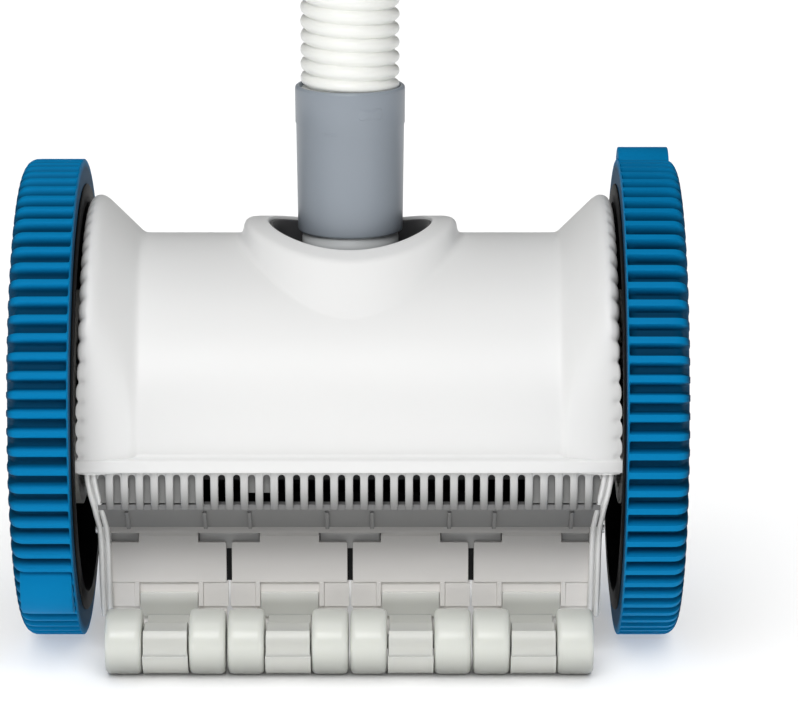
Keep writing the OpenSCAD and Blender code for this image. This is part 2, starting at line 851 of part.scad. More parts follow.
module wing(i) {
    front = wing_y - wing_t;
    color(wing_grey) translate([wing_x(i), 0, 0]) difference() {
        union() {
            translate([-wing_w / 2, front, wing_low]) cube([wing_w, wing_t, wing_top - wing_low]);
            translate([-tongue_w / 2, front, wing_top - 1])
                cube([tongue_w, wing_t, wing_z - wing_top + 1]);
            rod_x(knuckle_r, -tongue_w / 2, tongue_w / 2, wing_y, wing_z);
        }
        rod_x(rod_r + run_gap, -wing_w, wing_w, wing_y, wing_z);
        // lowered side fields, with a rib left beside the bracket's pocket
        for (s = [-1, 1]) translate([s < 0 ? -wing_w / 2 - 1 : bracket_w / 2 + 2.4, front - 1, wing_low - 1])
            cube([wing_w / 2 - bracket_w / 2 - 1.4, 1.8, step_z - wing_low + 1]);
        translate([-bracket_w / 2, front - 1, bracket_z]) cube([bracket_w, pocket + 1, step_z - bracket_z]);
    }
}

// Plate, arm and saddle: the saddle carries the rollers' axle between the two rollers
module roller_bracket(i) {
    front = wing_y - wing_t;
    color(soft_white) translate([wing_x(i), 0, 0]) difference() {
        union() {
            translate([-bracket_w / 2, front, bracket_z]) cube([bracket_w, pocket, ledge_z - bracket_z]);
            along_x(-saddle_w / 2, saddle_w / 2) polygon([
                [front, bracket_z - 8], [front, bracket_z], [front + 0.5, bracket_z],
                [front + 0.5, bracket_z + 1.5], [roller_y + 16, bracket_z + 1.5],
                [roller_y - 9, roller_z + 9], [roller_y - 5, roller_z], [roller_y + 4, roller_z - 9]
            ]);
            difference() {
                rod_x(roller_r - 0.9, -saddle_w / 2, saddle_w / 2, roller_y, roller_z);
                translate([-saddle_w, roller_y - 40, roller_z + 9]) cube([2 * saddle_w, 80, 20]);
            }
            difference() {
                rod_x(roller_r - 0.3, -saddle_w / 2, saddle_w / 2, roller_y, roller_z);
                translate([-saddle_w, roller_y - 40, roller_z - 2.8]) cube([2 * saddle_w, 80, 40]);
            }
        }
        rod_x(roller_axle_r + run_gap, -saddle_w, saddle_w, roller_y, roller_z);
        translate([-saddle_w, roller_y - 40, -eps]) cube([2 * saddle_w, 80, 0.8]);
    }
}

module rollers(i) {
    x0 = saddle_w / 2 + roller_gap;
    x1 = x0 + roller_l;
    color(soft_white) translate([wing_x(i), roller_y, roller_z]) {
        rod_x(roller_axle_r, -x0 - 1, x0 + 1);
        both_sides() turned([
            [x0, 0], [x0, roller_r - roller_round], [x0 + 0.8, roller_r - 0.6],
            [x0 + roller_round, roller_r], [x1 - roller_round, roller_r],
            [x1 - 0.8, roller_r - 0.6], [x1, roller_r - roller_round], [x1, 0]
        ]);
    }
}

upper_shell();
side_plate_left();
side_plate_right();
front_grille();
intake_panel();
deck_plate();
base_plate();
turbine_chamber();
chamber_ends();
intake_throat();
outlet_duct();
neck_seal();
neck_liner();
stub_axles();
wheel_screws();
shaft_bushes();
wing_rod();
rear_cover();
rear_rod();
cover_screws();
rear_flap();
tyre_left();
hub_left();
drive_ring_left();
wheel_bush_left();
hub_cap_left();
tyre_right();
hub_right();
drive_ring_right();
wheel_bush_right();
hub_cap_right();
turbine_shaft();
turbine_rotor();
turbine_vanes();
turbine_pinion();
counter_shaft_left();
counter_gear_left();
drive_pinion_left();
counter_shaft_right();
counter_gear_right();
drive_pinion_right();
clutch_pinion();
neck_tube();
hose_cuff();
hose();
hose_end_cuff();
wing(1);  // wing_1
wing(2);  // wing_2
wing(3);  // wing_3
wing(4);  // wing_4
roller_bracket(1);  // roller_bracket_1
roller_bracket(2);  // roller_bracket_2
roller_bracket(3);  // roller_bracket_3
roller_bracket(4);  // roller_bracket_4
rollers(1);  // rollers_1
rollers(2);  // rollers_2
rollers(3);  // rollers_3
rollers(4);  // rollers_4
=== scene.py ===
"""Looks of the two-wheel pool cleaner. Lengths are in millimetres until put() scales them to metres."""
import json
import math

import bmesh
import bpy
import numpy as np
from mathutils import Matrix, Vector

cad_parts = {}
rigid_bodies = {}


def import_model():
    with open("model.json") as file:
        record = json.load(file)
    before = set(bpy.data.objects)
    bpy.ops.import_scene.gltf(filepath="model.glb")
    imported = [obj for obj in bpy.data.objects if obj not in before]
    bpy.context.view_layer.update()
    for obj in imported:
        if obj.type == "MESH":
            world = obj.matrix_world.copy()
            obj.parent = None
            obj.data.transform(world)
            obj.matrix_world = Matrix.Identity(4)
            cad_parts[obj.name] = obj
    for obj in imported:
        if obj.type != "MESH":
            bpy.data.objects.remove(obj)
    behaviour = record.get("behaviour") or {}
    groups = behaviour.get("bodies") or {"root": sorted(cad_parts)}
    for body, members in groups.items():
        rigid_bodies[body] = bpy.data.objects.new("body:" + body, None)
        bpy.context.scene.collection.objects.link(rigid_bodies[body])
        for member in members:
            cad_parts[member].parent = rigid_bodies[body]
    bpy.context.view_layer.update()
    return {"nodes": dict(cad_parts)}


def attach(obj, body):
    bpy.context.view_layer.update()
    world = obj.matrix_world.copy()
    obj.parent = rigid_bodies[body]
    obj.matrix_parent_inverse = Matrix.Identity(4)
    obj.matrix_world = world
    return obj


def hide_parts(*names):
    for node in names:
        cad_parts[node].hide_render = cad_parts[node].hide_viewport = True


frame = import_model()
scene = bpy.context.scene
MM = 0.001
# height of the wheel axis over the floor, which is the tyre's radius as well
AXLE = 115.0


# ---------- materials ----------

def linear(rgb):
    """The linear red, green and blue of a colour given in steps of 0 to 255."""
    shares = [c / 255 for c in rgb]
    return [c / 12.92 if c <= 0.04045 else ((c + 0.055) / 1.055) ** 2.4 for c in shares]


def ranged(tree, low, high, at_low, at_high, kind="LINEAR"):
    """A node that maps low..high to at_low..at_high."""
    amount = tree.nodes.new("ShaderNodeMapRange")
    amount.interpolation_type = kind
    amount.inputs["From Min"].default_value = low
    amount.inputs["From Max"].default_value = high
    amount.inputs["To Min"].default_value = at_low
    amount.inputs["To Max"].default_value = at_high
    return amount


def scaled(tree, colour, amount):
    """The colour multiplied by the amount's result."""
    shade = tree.nodes.new("ShaderNodeVectorMath")
    shade.operation = "SCALE"
    tree.links.new(colour, shade.inputs[0])
    tree.links.new(amount.outputs["Result"], shade.inputs["Scale"])
    return shade.outputs["Vector"]


def paint_groove_shade(tree, place, colour, inner, outer, share):
    """Painted shade in grooves: darkens the colour towards the wheel's axle, from the radius outer in to
    inner.
    """
    node, link = tree.nodes, tree.links
    shift = node.new("ShaderNodeVectorMath")
    shift.operation = "SUBTRACT"
    shift.inputs[1].default_value = (0, 0, AXLE * MM)
    flat = node.new("ShaderNodeVectorMath")
    flat.operation = "MULTIPLY"
    flat.inputs[1].default_value = (0, 1, 1)
    reach = node.new("ShaderNodeVectorMath")
    reach.operation = "LENGTH"
    amount = ranged(tree, inner * MM, outer * MM, share, 1.0)
    link.new(place, shift.inputs[0])
    link.new(shift.outputs["Vector"], flat.inputs[0])
    link.new(flat.outputs["Vector"], reach.inputs[0])
    link.new(reach.outputs["Value"], amount.inputs["Value"])
    return scaled(tree, colour, amount)


def paint_height_shade(tree, place, colour, start, end, share):
    """Painted shade by height: darkens the colour from the height start to the height end, which may lie
    above or below it.
    """
    split = tree.nodes.new("ShaderNodeSeparateXYZ")
    amount = ranged(tree, start * MM, end * MM, 1.0, share, "SMOOTHSTEP")
    tree.links.new(place, split.inputs[0])
    tree.links.new(split.outputs["Z"], amount.inputs["Value"])
    return scaled(tree, colour, amount)


PLASTIC_IOR = 1.48
GRAIN_DEPTH = 0.0002
DRIFT_SCALE = 14
SCATTER_RADIUS = (0.004, 0.004, 0.0035)


def noise(tree, where, scale, detail):
    """Noise fixed to the piece, scale being its number of features in a metre."""
    made = tree.nodes.new("ShaderNodeTexNoise")
    made.inputs["Scale"].default_value = scale
    made.inputs["Detail"].default_value = detail
    tree.links.new(where.outputs["Object"], made.inputs["Vector"])
    return made


def moulded(name, rgb, rough=0.4, vary=0.06, shade=0.03, grain=380, bump=0.05, sss=0.0, metal=0.0,
            gloss=0.5, groove=None, painted_shade_falls=()):
    """A moulded or machined surface: fine grain in the bump, broad drift in colour and roughness.

    groove is (inner, outer, share) for painted shade in grooves, darker towards the axle, and each fall has
    (start, end, share) for painted shade by height.
    """
    m = bpy.data.materials.new(name)
    m.use_nodes = True
    tree = m.node_tree
    node, link = tree.nodes, tree.links
    shader = node["Principled BSDF"]
    shader.inputs["IOR"].default_value = PLASTIC_IOR
    shader.inputs["Metallic"].default_value = metal
    shader.inputs["Specular IOR Level"].default_value = gloss
    if sss:
        shader.inputs["Subsurface Weight"].default_value = sss
        shader.inputs["Subsurface Radius"].default_value = SCATTER_RADIUS
        shader.inputs["Subsurface Scale"].default_value = 1.0
    where = node.new("ShaderNodeTexCoord")
    broad = noise(tree, where, DRIFT_SCALE, 3)
    fine = noise(tree, where, grain, 2)
    colour = node.new("ShaderNodeMix")
    colour.data_type = "RGBA"
    base = linear(rgb)
    colour.inputs["A"].default_value = [c * (1 - shade) for c in base] + [1]
    colour.inputs["B"].default_value = [min(1, c * (1 + shade)) for c in base] + [1]
    link.new(broad.outputs["Fac"], colour.inputs["Factor"])
    shown = colour.outputs["Result"]
    # painted shade: darker in the grooves and by height, put into the base colour
    if groove:
        shown = paint_groove_shade(tree, where.outputs["Object"], shown, *groove)
    for fall in painted_shade_falls:
        shown = paint_height_shade(tree, where.outputs["Object"], shown, *fall)
    link.new(shown, shader.inputs["Base Color"])
    spread = node.new("ShaderNodeMapRange")
    spread.inputs["To Min"].default_value = rough - vary
    spread.inputs["To Max"].default_value = rough + vary
    link.new(broad.outputs["Fac"], spread.inputs["Value"])
    link.new(spread.outputs["Result"], shader.inputs["Roughness"])
    rise = node.new("ShaderNodeBump")
    rise.inputs["Strength"].default_value = bump
    rise.inputs["Distance"].default_value = GRAIN_DEPTH
    link.new(fine.outputs["Fac"], rise.inputs["Height"])
    link.new(rise.outputs["Normal"], shader.inputs["Normal"])
    return m


WHITE = moulded("shell_plastic", (240, 240, 239), rough=0.42, shade=0.008)
GREY = moulded("panel_plastic", (118, 118, 118), rough=0.55, shade=0.03)
BACKING = moulded("backing_plastic", (122, 122, 121), rough=0.5, shade=0.02)
# Grille slats: a dimmer white than the shell, and darker towards their lower ends; both are painted shade.
SLATS_PAINTED_SHADE = moulded("slat_plastic_painted_shade", (206, 206, 205), rough=0.42, shade=0.01, painted_shade_falls=[(95, 79, 0.36)])
BLACK = moulded("inner_plastic", (16, 16, 18), rough=0.5, shade=0.1)
HUB = moulded("hub_plastic", (7, 7, 10), rough=0.6, shade=0.1, gloss=0.12)
LINER = moulded("liner_plastic", (74, 74, 75), rough=0.5)
SEAL = moulded("seal_rubber_soft", (30, 30, 31), rough=0.75)
STEEL = moulded("brushed_steel", (186, 187, 189), rough=0.26, shade=0.05, grain=900, bump=0.02, metal=1.0)
ACETAL = moulded("acetal_plastic", (226, 225, 218), rough=0.42, shade=0.02)
# Wings, knuckles, hinge bars, rear flap and turbine vanes: darker towards the top, painted shade under the
# shell's overhang.
WING_PAINTED_SHADE = moulded("wing_plastic_pale_painted_shade", (251, 248, 245), rough=0.46, shade=0.01, painted_shade_falls=[(28, 60, 0.38)])
# Roller brackets: darker below the ledge and towards the floor, painted shade.
BRACKET_PAINTED_SHADE = moulded("bracket_plastic_milky_painted_shade", (252, 253, 246), rough=0.3, shade=0.01, sss=0.35,
                  painted_shade_falls=[(31, 25, 0.67), (11, -2, 0.6)])
# Grey standing in for the shade inside the hinge recesses: painted shade.
RECESS_SHADE = moulded("recess_painted_shade", (172, 172, 171), rough=0.55, shade=0.02)
# Rollers: darker towards the floor, painted shade.
ROLLER_PAINTED_SHADE = moulded("roller_plastic_milky_painted_shade", (226, 228, 221), rough=0.3, shade=0.02, sss=0.35,
                 painted_shade_falls=[(19, -2, 0.42)])
# Tyre: blue rubber, its grooves darker towards the axle as painted shade in the scoops.
BLUE_PAINTED_GROOVE_SHADE = moulded("tyre_rubber_painted_groove_shade", (2, 124, 180), rough=0.6, vary=0.05, shade=0.05, grain=240, bump=0.08,
               gloss=0.05, groove=(110.5, 114.2, 0.3))
NECK = moulded("neck_plastic", (222, 225, 226), rough=0.4, shade=0.02)
CUFF = moulded("cuff_plastic", (148, 156, 165), rough=0.38, shade=0.02)
HOSE = moulded("hose_plastic", (249, 250, 245), rough=0.3, shade=0.012, sss=0.12)


# ---------- mesh helpers ----------

SAME_PLACE, NO_LENGTH = 2e-6, 1e-7
FLAT_ENOUGH = math.radians(0.8)


class Shape:
    """Vertices and faces gathered from several pieces of surface."""

    def __init__(self):
        self.v, self.f = [], []

    def add(self, piece, shift=(0, 0, 0)):
        """Adds a pair of vertices and faces, moved by shift."""
        verts, faces = piece
        n = len(self.v)
        self.v += [(v[0] + shift[0], v[1] + shift[1], v[2] + shift[2]) for v in verts]
        self.f += [tuple(i + n for i in f) for f in faces]
        return self

    def moved(self, x):
        """A copy moved along x."""
        return Shape().add((self.v, self.f), (x, 0, 0))

    def mirrored(self):
        """A copy seen in a mirror across x."""
        out = Shape()
        out.v = [(-x, y, z) for x, y, z in self.v]
        out.f = [tuple(reversed(f)) for f in self.f]
        return out


def grid(points, wrap_u=False, wrap_v=False, caps=False, keep=None):
    """A sheet of quads over points[u][v]; keep(u, v) may leave quads out."""
    p = np.asarray(points, float)
    nu, nv = p.shape[:2]
    verts = [tuple(q) for q in p.reshape(-1, 3)]
    faces = []
    for i in range(nu if wrap_u else nu - 1):
        for j in range(nv if wrap_v else nv - 1):
            i2, j2 = (i + 1) % nu, (j + 1) % nv
            if keep is None or keep(i, j):
                faces.append((i * nv + j, i2 * nv + j, i2 * nv + j2, i * nv + j2))
    if caps:
        faces.append(tuple(range(nv)))
        faces.append(tuple((nu - 1) * nv + j for j in reversed(range(nv))))
    return verts, faces


def lathe(points, n=96, axis="x", at=(0, 0), closed=False):
    """Turns (along, radius) points about an axis through `at`, the other two coordinates."""
    a = np.arange(n) * 2 * math.pi / n
    rings = []
    for s, r in points:
        c, d = at[0] + r * np.cos(a), at[1] + r * np.sin(a)
        k = np.full(n, float(s))
        rings.append(np.stack([k, c, d] if axis == "x" else [c, d, k], 1))
    return grid(rings, wrap_u=closed, wrap_v=True)


def prism(outline, x0, x1):
    """An outline of (y, z) points drawn out from x0 to x1."""
    n = len(outline)
    verts = [(x, y, z) for x in (x0, x1) for y, z in outline]
    faces = [tuple(range(n)), tuple(reversed(range(n, 2 * n)))]
    faces += [(i, n + i, n + (i + 1) % n, (i + 1) % n) for i in range(n)]
    return verts, faces


def block(x0, x1, y0, y1, z0, z1):
    """A box between two corners."""
    return prism([(y0, z0), (y1, z0), (y1, z1), (y0, z1)], x0, x1)


def plate_y(outline, y0, y1):
    """An outline of (x, z) points drawn out from y0 to y1."""
    verts, faces = prism(outline, y0, y1)
    return [(b, a, c) for a, b, c in verts], [tuple(reversed(f)) for f in faces]


def rounded(corners, radius, n=5):
    """The outline with its corners cut to arcs; radius is one number or one for each corner."""
    out, m = [], len(corners)
    for i, p in enumerate(corners):
        r = radius[i] if hasattr(radius, "__len__") else radius
        p, a, b = (np.array(q, float) for q in (p, corners[i - 1], corners[(i + 1) % m]))
        if r <= 0:
            out.append(tuple(p))
            continue
        u, w = (a - p) / np.linalg.norm(a - p), (b - p) / np.linalg.norm(b - p)
        for k in range(n + 1):
            t = k / n
            out.append(tuple(p + u * r * (1 - t) ** 2 + w * r * t ** 2))
    return out


def put(name, shape, material, body, stands_for=(), bevel=0.0, seg=3, angle=35, sharp=38):
    """Makes the piece from millimetres, in place, riding on its body."""
    verts, faces = (shape.v, shape.f) if isinstance(shape, Shape) else shape
    me = bpy.data.meshes.new(name)
    me.from_pydata([(x * MM, y * MM, z * MM) for x, y, z in verts], [], faces)
    bm = bmesh.new()
    bm.from_mesh(me)
    bmesh.ops.remove_doubles(bm, verts=bm.verts, dist=SAME_PLACE)
    bmesh.ops.dissolve_degenerate(bm, edges=bm.edges, dist=NO_LENGTH)
    bmesh.ops.recalc_face_normals(bm, faces=bm.faces)
    bm.to_mesh(me)
    bm.free()
    me.shade_smooth()
    ob = bpy.data.objects.new(name, me)
    scene.collection.objects.link(ob)
    me.materials.append(material)
    soften(ob, bevel, seg, angle, sharp)
    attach(ob, body)
    if stands_for:
        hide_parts(*stands_for)
    return ob


def soften(ob, bevel, seg=3, angle=35, sharp=38):
    """Rounds the edges sharper than angle, or without a bevel shades those past sharp as hard edges."""
    if bevel:
        cut = ob.modifiers.new("edge", "BEVEL")
        cut.width, cut.segments, cut.limit_method = bevel * MM, seg, "ANGLE"
        cut.angle_limit = math.radians(angle)
        cut.use_clamp_overlap = True
        even = ob.modifiers.new("even", "WEIGHTED_NORMAL")
        even.keep_sharp = True
    else:
        ob.data.set_sharp_from_angle(angle=math.radians(sharp))


def from_cad(node, name, material, body, bevel, angle=30):
    """The CAD node's own shape with its edges broken, standing for that node."""
    source = frame["nodes"][node]
    me = source.data.copy()
    me.name = name
    me.materials.clear()
    me.materials.append(material)
    bm = bmesh.new()
    bm.from_mesh(me)
    bmesh.ops.remove_doubles(bm, verts=bm.verts, dist=SAME_PLACE)
    bmesh.ops.dissolve_limit(bm, angle_limit=FLAT_ENOUGH, verts=bm.verts, edges=bm.edges)
    bm.to_mesh(me)
    bm.free()
    if me.attributes.get("custom_normal"):
        me.attributes.remove(me.attributes["custom_normal"])
    me.shade_smooth()
    ob = bpy.data.objects.new(name, me)
    scene.collection.objects.link(ob)
    soften(ob, bevel, 2, angle)
    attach(ob, body)
    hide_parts(node)
    return ob


# ---------- barrel shell ----------

BARREL_R, HALF, FRONT_FLAT = 79.5, 125.8, 83.6
SCALLOP_PITCH, SCALLOP_DEPTH = 6.0, 1.1
FLARE_X = [0, 99.4, 116.4, 119.0, 121.8, 123.8, 125.2, HALF]
FLARE_RISE = [0, 0, 16.4, 18.2, 18.5, 17.2, 14.6, 11.4]
WALL_X = [0, 95, 112, 121, HALF]
WALL = [3, 3, 5.2, 6.5, 6.8]
WALL_SHARE_LOW = 0.55
LOW_SPREAD = 1.3
FLARE_STEP, FLARE_BLUR, BLUR_STEPS = 0.2, 1.1, 20

# the flare's outline, smoothed except near its outer edge
fine_x = np.arange(0, HALF + 0.01, FLARE_STEP)
flare_line = np.interp(fine_x, FLARE_X, FLARE_RISE)
kernel = np.exp(-0.5 * (np.arange(-BLUR_STEPS, BLUR_STEPS + 1) * FLARE_STEP / FLARE_BLUR) ** 2)
padded_line = np.concatenate([np.zeros(BLUR_STEPS), flare_line, np.full(BLUR_STEPS, flare_line[-1])])
smooth_line = np.convolve(padded_line, kernel / kernel.sum(), "valid")
edge_mix = np.clip((fine_x - 122.5) / 2, 0, 1)
flare_line = smooth_line * (1 - edge_mix) + flare_line * edge_mix


def smoothstep(a, b, x):
    """0 up to a, 1 from b on, and an even curve between them."""
    t = np.clip((np.asarray(x, float) - a) / (b - a), 0, 1)
    return t * t * (3 - 2 * t)


def shell_section(alpha, xs, inner=False):
    """Points of the shell across x at one angle, measured from the front over the top."""
    c, s = math.cos(alpha), math.sin(alpha)
    x = np.asarray(xs, float)
    rise = np.interp(np.abs(x), fine_x, flare_line)
    if c > 0.05:
        flat = (FRONT_FLAT / c - BARREL_R) * smoothstep(84, 123, np.abs(x)) + 1e-6
        rise = rise * flat / (rise ** 4 + flat ** 4) ** 0.25
    r = BARREL_R + rise
    size = np.abs(x)
    if inner:
        r = r - np.interp(size, WALL_X, WALL) * (WALL_SHARE_LOW + (1 - WALL_SHARE_LOW) * max(s, 0))
    else:
        notch = (1 - abs(math.sin(math.pi * (math.degrees(alpha) - 0.3) / SCALLOP_PITCH))) ** 1.5
        r = r - SCALLOP_DEPTH * notch * smoothstep(120.0, 125.0, size)
        x = x - np.sign(x) * SCALLOP_DEPTH * notch * smoothstep(121.5, 125.6, size)
    spread = LOW_SPREAD * smoothstep(104, 122, size) * (1 - smoothstep(2, 27, math.degrees(alpha)))
    x = x + np.sign(x) * spread
    return np.stack([x, -r * c, AXLE + r * s], 1)


outer_x = np.concatenate([np.arange(0, 92, 6.0), np.arange(93, 121, 1.0),
                          np.arange(121.4, HALF - 0.2, 0.55), [HALF - 0.25, HALF]])
outer_x = np.concatenate([-outer_x[:0:-1], outer_x])
inner_x = np.array([124.6, 121, 117, 112, 106, 100, 94, 80, 64, 48, 40, 32, 24, 16, 8, 0])
inner_x = np.concatenate([inner_x, -inner_x[-2::-1]])
SHELL_FROM, SHELL_TO, COLLAR_GAP_R = -11.5, 191.6, 47
alphas = np.radians(np.arange(SHELL_FROM, SHELL_TO, 0.5))
sections = [np.concatenate([shell_section(a, outer_x), shell_section(a, inner_x, True)]) for a in alphas]


def outside_collar(i, j):
    """Whether the shell has this quad, or leaves it to the collar round the neck."""
    x, y, z = sections[i][j]
    return math.hypot(x, y) > COLLAR_GAP_R or z < AXLE


shell = Shape().add(grid(sections, wrap_v=True, caps=True, keep=outside_collar))
LIP_Z, LIP_Y, LIP_HALF = 99.0, -84.2, 127.4
BACK_LIP_Y, BACK_LIP_HALF = 80.2, 124.6
lip = rounded([(-75.5, LIP_Z), (LIP_Y, LIP_Z), (LIP_Y, LIP_Z + 6.0), (-79.3, 105.6), (-78.9, 109.2),
               (-75.5, 109.2)], [0, 0.9, 1.1, 1.5, 0, 0], 4)
shell.add(prism(lip, -LIP_HALF, LIP_HALF))
back_lip = rounded([(75.0, LIP_Z), (BACK_LIP_Y, LIP_Z), (BACK_LIP_Y, LIP_Z + 3), (78.6, 103.5),
                    (75.0, 103.5)], [0, 0.9, 0.9, 0, 0], 4)
shell.add(prism(back_lip, -BACK_LIP_HALF, BACK_LIP_HALF))

OPEN_X, OPEN_Y, TOP_R = 39.0, 34.8, 87.6
RIM_X, RIM_Y, FOOT_X, FOOT_Y = 50.4, 43.4, 52.0, 60.0
HOLE_ROUND = 1.4


def ellipse(phi, a, b):
    """The reach, at the angle phi, of an ellipse with the half axes a and b."""
    return 1 / math.hypot(math.cos(phi) / a, math.sin(phi) / b)


def on_cylinder(radius, rho, phi):
    """The height over the axle of a cylinder along x, seen rho out from the neck at the angle phi."""
    return math.sqrt(radius ** 2 - (rho * math.sin(phi)) ** 2)


def curve(a, b, c, n):
    """n points of a quadratic curve, without its last point."""
    return [(1 - t) ** 2 * a + 2 * t * (1 - t) * b + t * t * c for t in (k / n for k in range(n))]


def collar_section(phi):
    """The collar's outline from the barrel over the rim and down into the hole, at the angle phi."""
    side = math.cos(phi) ** 2
    rim, base = ellipse(phi, RIM_X, RIM_Y), ellipse(phi, FOOT_X, FOOT_Y)
    fillet, top_round = 3.4 * side + 0.8 * (1 - side), 2.8 * side + 1.7 * (1 - side)
    top = np.array([rim, on_cylinder(TOP_R, rim, phi)])
    foot = np.array([base, on_cylinder(BARREL_R, base, phi)])
    down = (foot - top) / np.linalg.norm(foot - top)
    out = base + fillet
    land = np.array([out, on_cylinder(BARREL_R, out, phi) - 0.03])
    wall_low, wall_high = foot - down * min(fillet, 4.0), top + down * top_round
    crest = np.array([rim - top_round, on_cylinder(TOP_R, rim - top_round, phi)])
    hole = ellipse(phi, OPEN_X, OPEN_Y)
    edge = np.array([hole, on_cylinder(TOP_R, hole, phi)])
    lead = np.array([hole + HOLE_ROUND, on_cylinder(TOP_R, hole + HOLE_ROUND, phi)])
    fall = edge - np.array([0, HOLE_ROUND])
    pts = [np.array([out + 2.5, on_cylinder(BARREL_R, out + 2.5, phi) - 0.25])]
    pts += curve(land, foot, wall_low, 7)
    pts += [wall_low + (wall_high - wall_low) * k / 4 for k in range(4)]
    pts += curve(wall_high, top, crest, 6)
    pts += [crest + (lead - crest) * k / 3 for k in range(3)]
    pts += curve(lead, edge, fall, 5) + [fall, np.array([hole, 72.0]), np.array([hole, 58.0])]
    return [(p[0] * math.cos(phi), p[0] * math.sin(phi), AXLE + p[1]) for p in pts]


shell.add(grid([collar_section(2 * math.pi * k / 240) for k in range(240)], wrap_u=True))
put("upper_shell_body", shell, WHITE, "body", ["upper_shell"], sharp=50)

LINER_FLOOR, LINER_HOLE_R, LINER_SEAT_R = 67.6, 23.3, 29.5


def liner_section(phi):
    """The dark cup inside the collar, cut at the angle phi."""
    far = ellipse(phi, OPEN_X, OPEN_Y) - 0.25
    line = [(far, on_cylinder(TOP_R - 1.7, far, phi)), (far - 1.5, on_cylinder(TOP_R - 2.1, far, phi)),
            (far - 2.0, on_cylinder(TOP_R - 3.0, far, phi)), (far - 2.0, LINER_FLOOR + 1.0),
            (far - 3.1, LINER_FLOOR), (LINER_HOLE_R, LINER_FLOOR), (LINER_HOLE_R, 65.2),
            (LINER_SEAT_R, 65.2), (LINER_SEAT_R, 60.1), (far, 60.1)]
    return [(r * math.cos(phi), r * math.sin(phi), AXLE + h) for r, h in line]


liner = grid([liner_section(2 * math.pi * k / 160) for k in range(160)], wrap_u=True, wrap_v=True)
put("neck_liner_ring", liner, LINER, "body", ["neck_liner"])


# ---------- front grille ----------

GRILLE_Y, SLOT_TOP, HEADER_TOP, GRILLE_HALF = -80.9, 97.4, 98.9, 117.6
PITCH, SLAT, SLAT_THICK, SLATS_EACH_SIDE = 7.0, 3.6, 2.6, 16
slat_path = [(GRILLE_Y, 98.8), (GRILLE_Y, 94), (GRILLE_Y + 0.1, 90), (GRILLE_Y + 0.7, 86.2),
             (GRILLE_Y + 1.7, 82.6), (GRILLE_Y + 3.6, 79.6)]
# across a slat: share of its width from the middle, share of its depth from the front
BAR_FACE = [(-0.5, 1), (-0.5, 0.2), (-0.4, 0.06), (-0.2, 0), (0.2, 0), (0.4, 0.06), (0.5, 0.2), (0.5, 1)]


def slat(width, path, thick):
    """A bar with a rounded front, following the path of its front face down the grille."""
    rings = []
    for i, (y, z) in enumerate(path):
        a, b = path[max(i - 1, 0)], path[min(i + 1, len(path) - 1)]
        d = np.array([b[0] - a[0], b[1] - a[1]], float)
        d /= np.linalg.norm(d)
        inward = np.array([-d[1], d[0]])
        ring = []
        for u, w in BAR_FACE:
            q = np.array([y, z]) + inward * w * thick
            ring.append((u * width, q[0], q[1]))
        rings.append(ring)
    return grid(rings, wrap_v=True, caps=True)


grille = Shape()
for k in range(-SLATS_EACH_SIDE, SLATS_EACH_SIDE + 1):
    grille.add(slat(SLAT, slat_path, SLAT_THICK), (k * PITCH, 0, 0))
put("front_grille_slats", grille, SLATS_PAINTED_SHADE, "body", ["front_grille"], sharp=60)

header = Shape()
arch_r = (PITCH - SLAT) / 2
arch_turn = np.linspace(math.pi, 0, 9)
for k in range(-SLATS_EACH_SIDE - 1, SLATS_EACH_SIDE + 1):
    x0, x1 = max(k * PITCH, -GRILLE_HALF), min((k + 1) * PITCH, GRILLE_HALF)
    mid, spring = (k + 0.5) * PITCH, SLOT_TOP - arch_r
    arc = [(mid + arch_r * math.cos(t), spring + arch_r * math.sin(t)) for t in arch_turn]
    low = spring - 0.4
    outline = [(x0, HEADER_TOP), (x0, low), (arc[0][0], low)] + arc
    outline += [(arc[-1][0], low), (x1, low), (x1, HEADER_TOP)]
    header.add(plate_y(outline, GRILLE_Y + 0.5, GRILLE_Y + 2.6))
put("grille_header", header, SLATS_PAINTED_SHADE, "body", sharp=50)

sill_outline = rounded([(GRILLE_Y + 4.4, 79.0), (GRILLE_Y + 7.6, 79.0), (GRILLE_Y + 6.6, 82.4),
                        (GRILLE_Y + 3.6, 82.0)], 0.6, 3)
sill = prism(sill_outline, -GRILLE_HALF, GRILLE_HALF)
put("grille_sill", sill, GREY, "body", bevel=0.2)
BACKING_TOP, BACKING_HALF = 98.6, 117.8
backing = Shape()
for x0, x1 in ((-BACKING_HALF, -69.4), (82.9, BACKING_HALF)):
    backing.add(block(x0, x1, GRILLE_Y + 3.2, GRILLE_Y + 4.6, 82.8, BACKING_TOP))
backing.add(block(-49.5, -36.2, GRILLE_Y + 3.4, GRILLE_Y + 4.8, 87.8, BACKING_TOP))
put("grille_backing", backing, BACKING, "body", bevel=0.3)
boss_line = [(-104.5, 0), (-104.5, 2.2), (-103.9, 2.6), (-103.0, 2.6), (-103.0, 0)]
boss = lathe(boss_line, 32, "x", (GRILLE_Y + 4, 92.5))
put("grille_boss", boss, BLACK, "body")


# ---------- sloping panel with its ribs ----------

